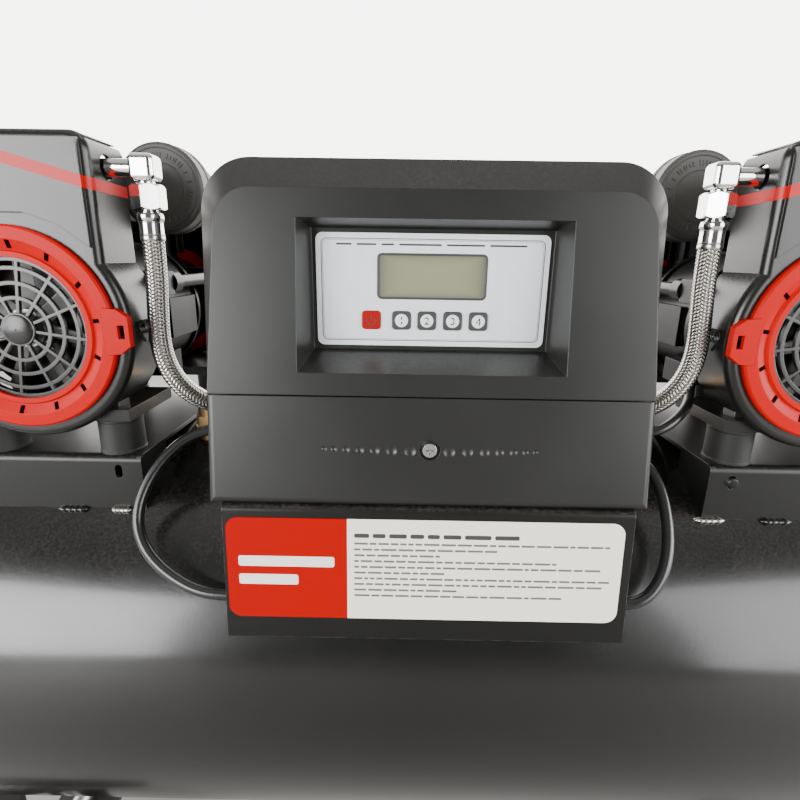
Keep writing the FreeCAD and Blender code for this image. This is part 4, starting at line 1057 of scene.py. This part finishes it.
class COMPRESSOR_OT_fitting_details(bpy.types.Operator):
    """Crimp rings and bands on the hose ferrules, and the face of the deck screw"""
    bl_idname = "compressor.fitting_details"
    bl_label = "Fitting details"

    # upright hose ends, and whether the ferrule is above or below the end
    ENDS = ((INNER_HOSE[0], 1), (OUTER_HOSE[0], 1), (OUTER_HOSE[-1], -1))
    DECK_SCREW = (0.260, -0.12955, 0.6055)

    def execute(self, context):
        rings = []
        for (x, y, z), up in self.ENDS:
            for side in (-1, 1):
                spot = (side * -x, y, z)
                for shift, reach in ((0.0006, 0.0086), (0.0095, 0.0085)):
                    rings.append(self.hoop(spot, reach, up * shift, "Z"))
        for side in (-1, 1):
            x, y, z = INNER_HOSE[-1]
            for shift in (0.0008, 0.0095):
                rings.append(self.hoop((side * -x, y, z), 0.0086, side * -shift, "X"))
        add_piece("ferrule_rings", joined(rings), "satin_steel")
        bands = []
        for (x, y, z), up in self.ENDS:
            for side in (-1, 1):
                profile = [(0.0070, 0.0), (0.0086, 0.0), (0.0089, -up * 0.0006), (0.0089, -up * 0.0034),
                           (0.0086, -up * 0.0040), (0.0070, -up * 0.0040)]
                bands.append(turned_ring(profile[::up], (side * -x, y, z), "Z", steps=40))
        add_piece("swaged_bands", joined(bands), "satin_steel")
        screw = disc_dome(0.0043, 0.0004, self.DECK_SCREW)
        add_piece("deck_screw_face", screw, "cast_paint")
        return {"FINISHED"}

    def hoop(self, centre, radius, shift, axis, thickness=0.0005):
        """Thin round ring about an axis, shifted along it from centre."""
        profile = []
        for step in range(10):
            angle = TAU * step / 10
            profile.append((radius + thickness * math.cos(angle), shift + thickness * math.sin(angle)))
        return turned_ring(profile, centre, axis, steps=40)


class COMPRESSOR_OT_control_face(bpy.types.Operator):
    """Line round the fascia, display border, plain title bars, key discs and figures"""
    bl_idname = "compressor.control_face"
    bl_label = "Control face"

    TITLE_BARS = (0.011, 0.014, 0.009, 0.030, 0.027, 0.026)
    TITLE_GAP, TITLE_HEIGHT = 0.0034, 0.0013
    LINES = ((0.0, 0.00055), (0.0011, 0.00022))      # inset from the first line, and width
    CORNER = 0.0042

    def execute(self, context):
        trim = context.scene.compressor_trim
        self.border(trim)
        self.bezel()
        self.title(trim)
        for key in KEYS:
            self.key_face(key, trim)
        self.power_mark(trim)
        return {"FINISHED"}

    def border(self, trim):
        low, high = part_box("fascia")
        middle = (low + high) / 2
        bands = []
        for further, width in self.LINES:
            inset = trim.border_inset + further
            size = high - low - Vector((2 * inset, 0, 2 * inset))
            outer = rounded_outline(size.x, size.z, self.CORNER)
            inner = rounded_outline(size.x - 2 * width, size.z - 2 * width, self.CORNER - width)
            bands.append(frame_band(outer, inner, low.y - trim.film, low.y + trim.film))
        shape = moved(joined(bands), Matrix.Translation((middle.x, 0, middle.z)))
        add_piece("fascia_border", shape, "print_ink")

    def bezel(self):
        low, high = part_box("lcd_window")
        middle = (low + high) / 2
        size = high - low
        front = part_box("fascia")[0].y - 0.0004
        outer = rounded_outline(size.x + 0.0016, size.z + 0.0016, 0.0036)
        inner = rounded_outline(size.x - 0.0014, size.z - 0.0014, 0.0022)
        band = frame_band(outer, inner, front, front + 0.0010)
        shape = moved(band, Matrix.Translation((middle.x, 0, middle.z)))
        add_piece("display_border", shape, "key_grey", round_edge=0.15 * MM)

    def title(self, trim):
        """Plain bars where the fascia carries its title."""
        low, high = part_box("fascia")
        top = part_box("lcd_window")[1].z
        middle = (top + high.z) / 2 - 0.0006
        front = low.y - trim.film
        x = -(sum(self.TITLE_BARS) + self.TITLE_GAP * (len(self.TITLE_BARS) - 1)) / 2 - 0.001
        bars = []
        for width in self.TITLE_BARS:
            outline = rounded_outline(width, self.TITLE_HEIGHT, 0.0006, steps=3)
            bars.append(moved(slab(outline, front, low.y + trim.film),
                              Matrix.Translation((x + width / 2, 0, middle))))
            x += width + self.TITLE_GAP
        add_piece("title_bars", joined(bars), "print_ink")

    def key_face(self, key, trim):
        low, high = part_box(key)
        spot = Vector(((low.x + high.x) / 2, low.y + 0.0001, (low.z + high.z) / 2))
        add_piece(key + "_disc", disc_dome(trim.key_disc, 0.00045, spot), "key_white", body=key)
        figure = lettering(key[-1], 0.0054, trim.film, bold=0.012)
        lifted = Matrix.Translation(spot - Vector((0, 0.00036, 0)))
        add_piece(key + "_figure", moved(figure, lifted), "print_ink", body=key)

    def power_mark(self, trim):
        low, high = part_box("power_key")
        spot = Vector(((low.x + high.x) / 2, low.y, (low.z + high.z) / 2 - 0.0004))
        reach, width = 0.0030, 0.00042
        outline = []
        for radius, order in ((reach + width, 1), (reach - width, -1)):
            arc = [(radius * math.cos(angle), radius * math.sin(angle))
                   for angle in np.linspace(math.radians(128), math.radians(412), 28)]
            outline += arc[::order]
        ring = self.arc_band(outline, trim)
        stem = bar(-width, width, 0.0004, 0.0044, -trim.film, trim.film)
        add_piece("power_mark", moved(joined([ring, stem]), Matrix.Translation(spot)), "print_ink",
                  body="power_key")

    def arc_band(self, outline, trim):
        """Flat open band: outline runs out along one edge and back along the other."""
        count = len(outline) // 2
        points = [Vector((x, y, z)) for y in (-trim.film, trim.film) for x, z in outline]
        total = len(outline)
        faces = []
        for index in range(count - 1):
            far = total - 1 - index
            faces.append((index, far, far - 1, index + 1))
            faces.append((total + index, total + index + 1, total + far - 1, total + far))
        for index in range(total):
            after = (index + 1) % total
            faces.append((index, after, total + after, total + index))
        return points, faces


class COMPRESSOR_OT_label_print(bpy.types.Operator):
    """Plain bars in place of the words on the label"""
    bl_idname = "compressor.label_print"
    bl_label = "Label print"

    THICKNESS, HEIGHT = 0.0005, 0.0785       # of the label's own sheet
    ROW_SHARES = (0.98, 0.55, 0.35, 0.78, 0.97, 0.35, 0.99, 0.97, 0.40, 0.81)
    ROW_TOP, ROW_PITCH = 0.0186, 0.00455
    HEADING_TOP, HEADING_WIDTH = 0.0125, 0.128

    def execute(self, context):
        trim = context.scene.compressor_trim
        low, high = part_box("notice_label")
        lean = math.asin(((high.y - low.y) - self.THICKNESS) / self.HEIGHT)
        onto = Matrix.Translation((low + high) / 2) @ Matrix.Rotation(-lean, 4, "X")
        front = -self.THICKNESS / 2
        left = low.x - (low.x + high.x) / 2
        split = left + (high.x - low.x) * LABEL_SPLIT
        heavy = self.heavy_bars(trim)
        spot = Matrix.Translation(((left + split) / 2 - 0.0005, front + 0.00002, -0.0015))
        add_piece("label_bars", moved(heavy, onto @ spot), "print_white")
        heading, lines = self.words(split + 0.0050, -left - 0.006, self.HEIGHT / 2, front, trim)
        add_piece("label_heading", moved(heading, onto), "print_ink")
        add_piece("label_lines", moved(lines, onto), "print_grey")
        return {"FINISHED"}

    def heavy_bars(self, trim):
        """Two heavy plain bars, the lower one shorter, centred as a pair."""
        height, wide = trim.bars_height * 0.36, trim.bars_height * 3.1
        level = (trim.bars_height - height) / 2
        bars = []
        for width, z in ((wide, level), (wide * 0.62, -level)):
            outline = rounded_outline(width, height, height * 0.2, steps=3)
            bars.append(moved(slab(outline, -trim.film, 0.0),
                              Matrix.Translation(((width - wide) / 2, 0, z))))
        return joined(bars)

    def words(self, start, end, top, front, trim):
        """A heavier row of bars, then ten light ones; each row's share of the width is fixed."""
        dice = random.Random(4)
        heading = self.row(start, start + self.HEADING_WIDTH, top - self.HEADING_TOP, 0.0033,
                           (0.008, 0.020), front, trim, dice)
        rows = []
        for index, share in enumerate(self.ROW_SHARES):
            level = top - self.ROW_TOP - self.ROW_PITCH * index
            rows.append(self.row(start, start + (end - start) * share, level, 0.0016, (0.003, 0.012),
                                 front, trim, dice))
        return heading, joined(rows)

    def row(self, x, end, level, height, widths, front, trim, dice):
        """Bars of random width from x to end, at one level."""
        bars = []
        while x < end - widths[0]:
            width = min(dice.uniform(*widths), end - x)
            outline = rounded_outline(width, height, height * 0.35, steps=2)
            bars.append(moved(slab(outline, front - trim.film, front + trim.film / 2),
                              Matrix.Translation((x + width / 2, 0, level))))
            x += width + height * 0.75
        return joined(bars)


class COMPRESSOR_OT_weld_beads(bpy.types.Operator):
    """Weld beads at the decks, the legs and the tank's end seams"""
    bl_idname = "compressor.weld_beads"
    bl_label = "Weld beads"

    AXIS_Z = 0.410                   # tank axis above the floor
    SEAM_X, SEAM_STEPS, SEAM_RADIUS = 0.610, 240, 0.0036
    LEG_X, LEG_RADIUS = (-0.470, -0.390, 0.390, 0.470), 0.0028
    # where the deck's beads begin, and their length; the first on each side is left unpainted
    RIGHT_BEADS = ((0.2330, 0.026), (0.2900, 0.026), (0.4200, 0.026), (0.5500, 0.026))
    LEFT_BEADS = ((0.2520, 0.018),) + RIGHT_BEADS[1:]

    def execute(self, context):
        trim = context.scene.compressor_trim
        dice = random.Random(11)
        low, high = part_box("tank")
        radius = (high.z - low.z) / 2
        bright = []
        painted = []
        deck_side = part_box("pump_decks")[1].y
        for side, beads in ((-1, self.LEFT_BEADS), (1, self.RIGHT_BEADS)):
            for near in (-1, 1):
                for x, length in beads:
                    y = near * (deck_side + 0.0008)
                    z = self.AXIS_Z + math.sqrt(radius ** 2 - y ** 2)
                    line = [(side * (x + length * step / 15), y, z + 0.0004) for step in range(16)]
                    shape = self.bead(line, trim.bead_radius, dice)
                    (bright if x == beads[0][0] else painted).append(shape)
        reach = radius + 0.0002
        for side in (-1, 1):
            loop = []
            for step in range(self.SEAM_STEPS):
                angle = TAU * step / self.SEAM_STEPS
                loop.append((side * self.SEAM_X, reach * math.cos(angle),
                             self.AXIS_Z + reach * math.sin(angle)))
            painted.append(self.ring_bead(loop, self.SEAM_RADIUS, dice))
        for x in self.LEG_X:
            for side in (-1, 1):
                line = []
                for step in range(60):
                    angle = math.radians(-90 + side * (22 + 20 * step / 59))
                    line.append((x, radius * math.cos(angle), self.AXIS_Z + radius * math.sin(angle)))
                painted.append(self.bead(line, self.LEG_RADIUS, dice))
        add_piece("bright_welds", joined(bright), "weld_metal", sharp=80.0)
        add_piece("painted_welds", joined(painted), "tank_gloss", sharp=80.0)
        return {"FINISHED"}

    def bead(self, line, radius, dice):
        """Rippled, flattened rod that thins at both ends."""
        radii = []
        for index in range(len(line)):
            ripple = 1.0 + 0.16 * math.cos(index * 2.1) + dice.uniform(-0.08, 0.08)
            ends = min(1.0, 0.35 + 0.30 * min(index, len(line) - 1 - index))
            radii.append(radius * ripple * ends)
        return swept(line, radii, sides=10, squash=0.55)

    def ring_bead(self, loop, radius, dice):
        """Rippled bead round a closed loop about the tank's axis."""
        count = len(loop)
        sides = 8
        points = []
        faces = []
        for spot in loop:
            out = Vector((0, spot[1], spot[2] - self.AXIS_Z)).normalized()
            swell = radius * (1.0 + dice.uniform(-0.12, 0.12))
            for step in range(sides):
                angle = TAU * step / sides
                along = Vector((swell * math.cos(angle), 0, 0))
                points.append(Vector(spot) + along + out * swell * 0.35 * math.sin(angle))
        for index in range(count):
            after = (index + 1) % count
            for step in range(sides):
                other = (step + 1) % sides
                faces.append((index * sides + step, index * sides + other,
                              after * sides + other, after * sides + step))
        return points, faces


class COMPRESSOR_OT_tyres(bpy.types.Operator):
    """Tyres with a block tread in place of the plain CAD ones"""
    bl_idname = "compressor.tyres"
    bl_label = "Tyres"

    INNER_RADIUS = 0.0621
    BLOCKS, PER_BLOCK, ROWS = 40, 6, 26

    def execute(self, context):
        trim = context.scene.compressor_trim
        for end in ("front", "rear"):
            node = "tyre_" + end
            low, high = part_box(node)
            centre = (low + high) / 2
            radius = (high.z - low.z) / 2
            half = (high.y - low.y) / 2
            add_piece(node + "_tread", self.tyre(centre, radius, half, trim.tread_depth), "rubber",
                      body="wheel_" + end, replaces=(node,), sharp=28.0)
        return {"FINISHED"}

    def tyre(self, centre, radius, half, tread):
        """Round carcass whose tread blocks alternate from side to side."""
        inner, per_block, rows = self.INNER_RADIUS, self.PER_BLOCK, self.ROWS
        steps = self.BLOCKS * per_block
        points = []
        for step in range(steps):
            angle = TAU * step / steps
            raised = step % per_block < per_block - 2
            shifted = (step + per_block // 2) % per_block < per_block - 2
            for row in range(rows):
                turn = math.pi * row / (rows - 1)
                y = -half * math.cos(turn)
                crown = math.sin(turn) ** 0.55
                reach = inner + (radius - inner) * crown
                on_tread = crown > 0.90
                groove = abs(abs(y) - half * 0.26) < half * 0.075
                block = raised if y < 0 else shifted
                if on_tread and (groove or not block):
                    reach -= tread
                across = y * 0.85 if row in (0, rows - 1) else y
                points.append(centre + Vector((reach * math.cos(angle), across, reach * math.sin(angle))))
        faces = []
        for step in range(steps):
            after = (step + 1) % steps
            for row in range(rows):
                other = (row + 1) % rows
                faces.append((step * rows + row, after * rows + row,
                              after * rows + other, step * rows + other))
        return points, faces


class COMPRESSOR_OT_gauge(bpy.types.Operator):
    """Dial, numbers and needle of the tank pressure gauge, which faces the rear"""
    bl_idname = "compressor.gauge"
    bl_label = "Pressure gauge"

    CENTRE = Vector((-0.048, 0.091, 0.656))
    START, SWEEP = math.radians(225), math.radians(270)
    TICKS, NUMBERS, NUMBER_RADIUS = 40, 8, 0.0140
    NEEDLE = ((0.0185, -0.0002), (0.0185, 0.0002), (-0.0045, 0.0006), (-0.0045, -0.0006))
    HUB = ((0.0002, -0.0018), (0.0020, -0.0016), (0.0022, -0.0004), (0.0002, -0.0004))

    def execute(self, context):
        face = turned_ring([(0.0003, 0.0), (0.0228, 0.0), (0.0228, 0.0003), (0.0003, 0.0003)], self.CENTRE)
        add_piece("gauge_dial", face, "print_white")
        marks = []
        front = Matrix.Translation(self.CENTRE + Vector((0, 0.0003, 0)))
        turn_round = front @ Matrix.Rotation(math.pi, 4, "Z")
        for index in range(self.TICKS + 1):
            angle = self.START - self.SWEEP * index / self.TICKS
            long = index % 5 == 0
            tick = bar(0.0172 if long else 0.0188, 0.0206, -0.00028 if long else -0.00014,
                       0.00028 if long else 0.00014, -0.0001, 0.0)
            marks.append(moved(tick, Matrix.Rotation(-angle, 4, "Y")))
        reach = self.NUMBER_RADIUS
        for index in range(0, self.NUMBERS + 1, 2):
            angle = self.START - self.SWEEP * index / self.NUMBERS
            figure = lettering(str(2 * index), 0.0030, 0.0001, bold=0.01)
            spot = Matrix.Translation((reach * math.cos(angle), 0, reach * math.sin(angle)))
            marks.append(moved(figure, spot))
        add_piece("gauge_marks", moved(joined(marks), turn_round), "print_ink")
        needle = slab(self.NEEDLE, -0.0012, -0.0007)
        hub = turned_ring(self.HUB, (0, 0, 0), steps=24)
        shape = moved(joined([needle, hub]), turn_round @ Matrix.Rotation(-self.START, 4, "Y"))
        add_piece("gauge_needle", shape, "slot_shade_and_needle_black")
        return {"FINISHED"}


STEPS = (COMPRESSOR_OT_finishes, COMPRESSOR_OT_studio, COMPRESSOR_OT_hoses, COMPRESSOR_OT_cables,
         COMPRESSOR_OT_cad_finishes, COMPRESSOR_OT_fan_fronts, COMPRESSOR_OT_cowl_stripes,
         COMPRESSOR_OT_filters, COMPRESSOR_OT_fitting_details, COMPRESSOR_OT_control_face,
         COMPRESSOR_OT_label_print, COMPRESSOR_OT_weld_beads, COMPRESSOR_OT_tyres, COMPRESSOR_OT_gauge)
SETTINGS = (StudioSettings, FinishSettings, TrimSettings)


class COMPRESSOR_PT_build(bpy.types.Panel):
    """Lists the steps and their settings"""
    bl_idname = "COMPRESSOR_PT_build"
    bl_label = "Compressor looks"
    bl_space_type = "VIEW_3D"
    bl_region_type = "UI"
    bl_category = "Compressor"

    def draw(self, context):
        for group in ("compressor_studio", "compressor_finishes", "compressor_trim"):
            settings = getattr(context.scene, group)
            column = self.layout.column()
            for name in settings.__annotations__:
                column.prop(settings, name)
        for step in STEPS:
            self.layout.operator(step.bl_idname)


def register():
    for cls in SETTINGS + STEPS + (COMPRESSOR_PT_build,):
        bpy.utils.register_class(cls)
    bpy.types.Scene.compressor_studio = PointerProperty(type=StudioSettings)
    bpy.types.Scene.compressor_finishes = PointerProperty(type=FinishSettings)
    bpy.types.Scene.compressor_trim = PointerProperty(type=TrimSettings)


def unregister():
    del bpy.types.Scene.compressor_trim
    del bpy.types.Scene.compressor_finishes
    del bpy.types.Scene.compressor_studio
    for cls in reversed(SETTINGS + STEPS + (COMPRESSOR_PT_build,)):
        bpy.utils.unregister_class(cls)


def call(step):
    """Runs one operator by its name, as its button does."""
    group, name = step.bl_idname.split(".")
    getattr(getattr(bpy.ops, group), name)()


def main():
    register()
    for step in STEPS:
        call(step)


if __name__ == "__main__":
    main()
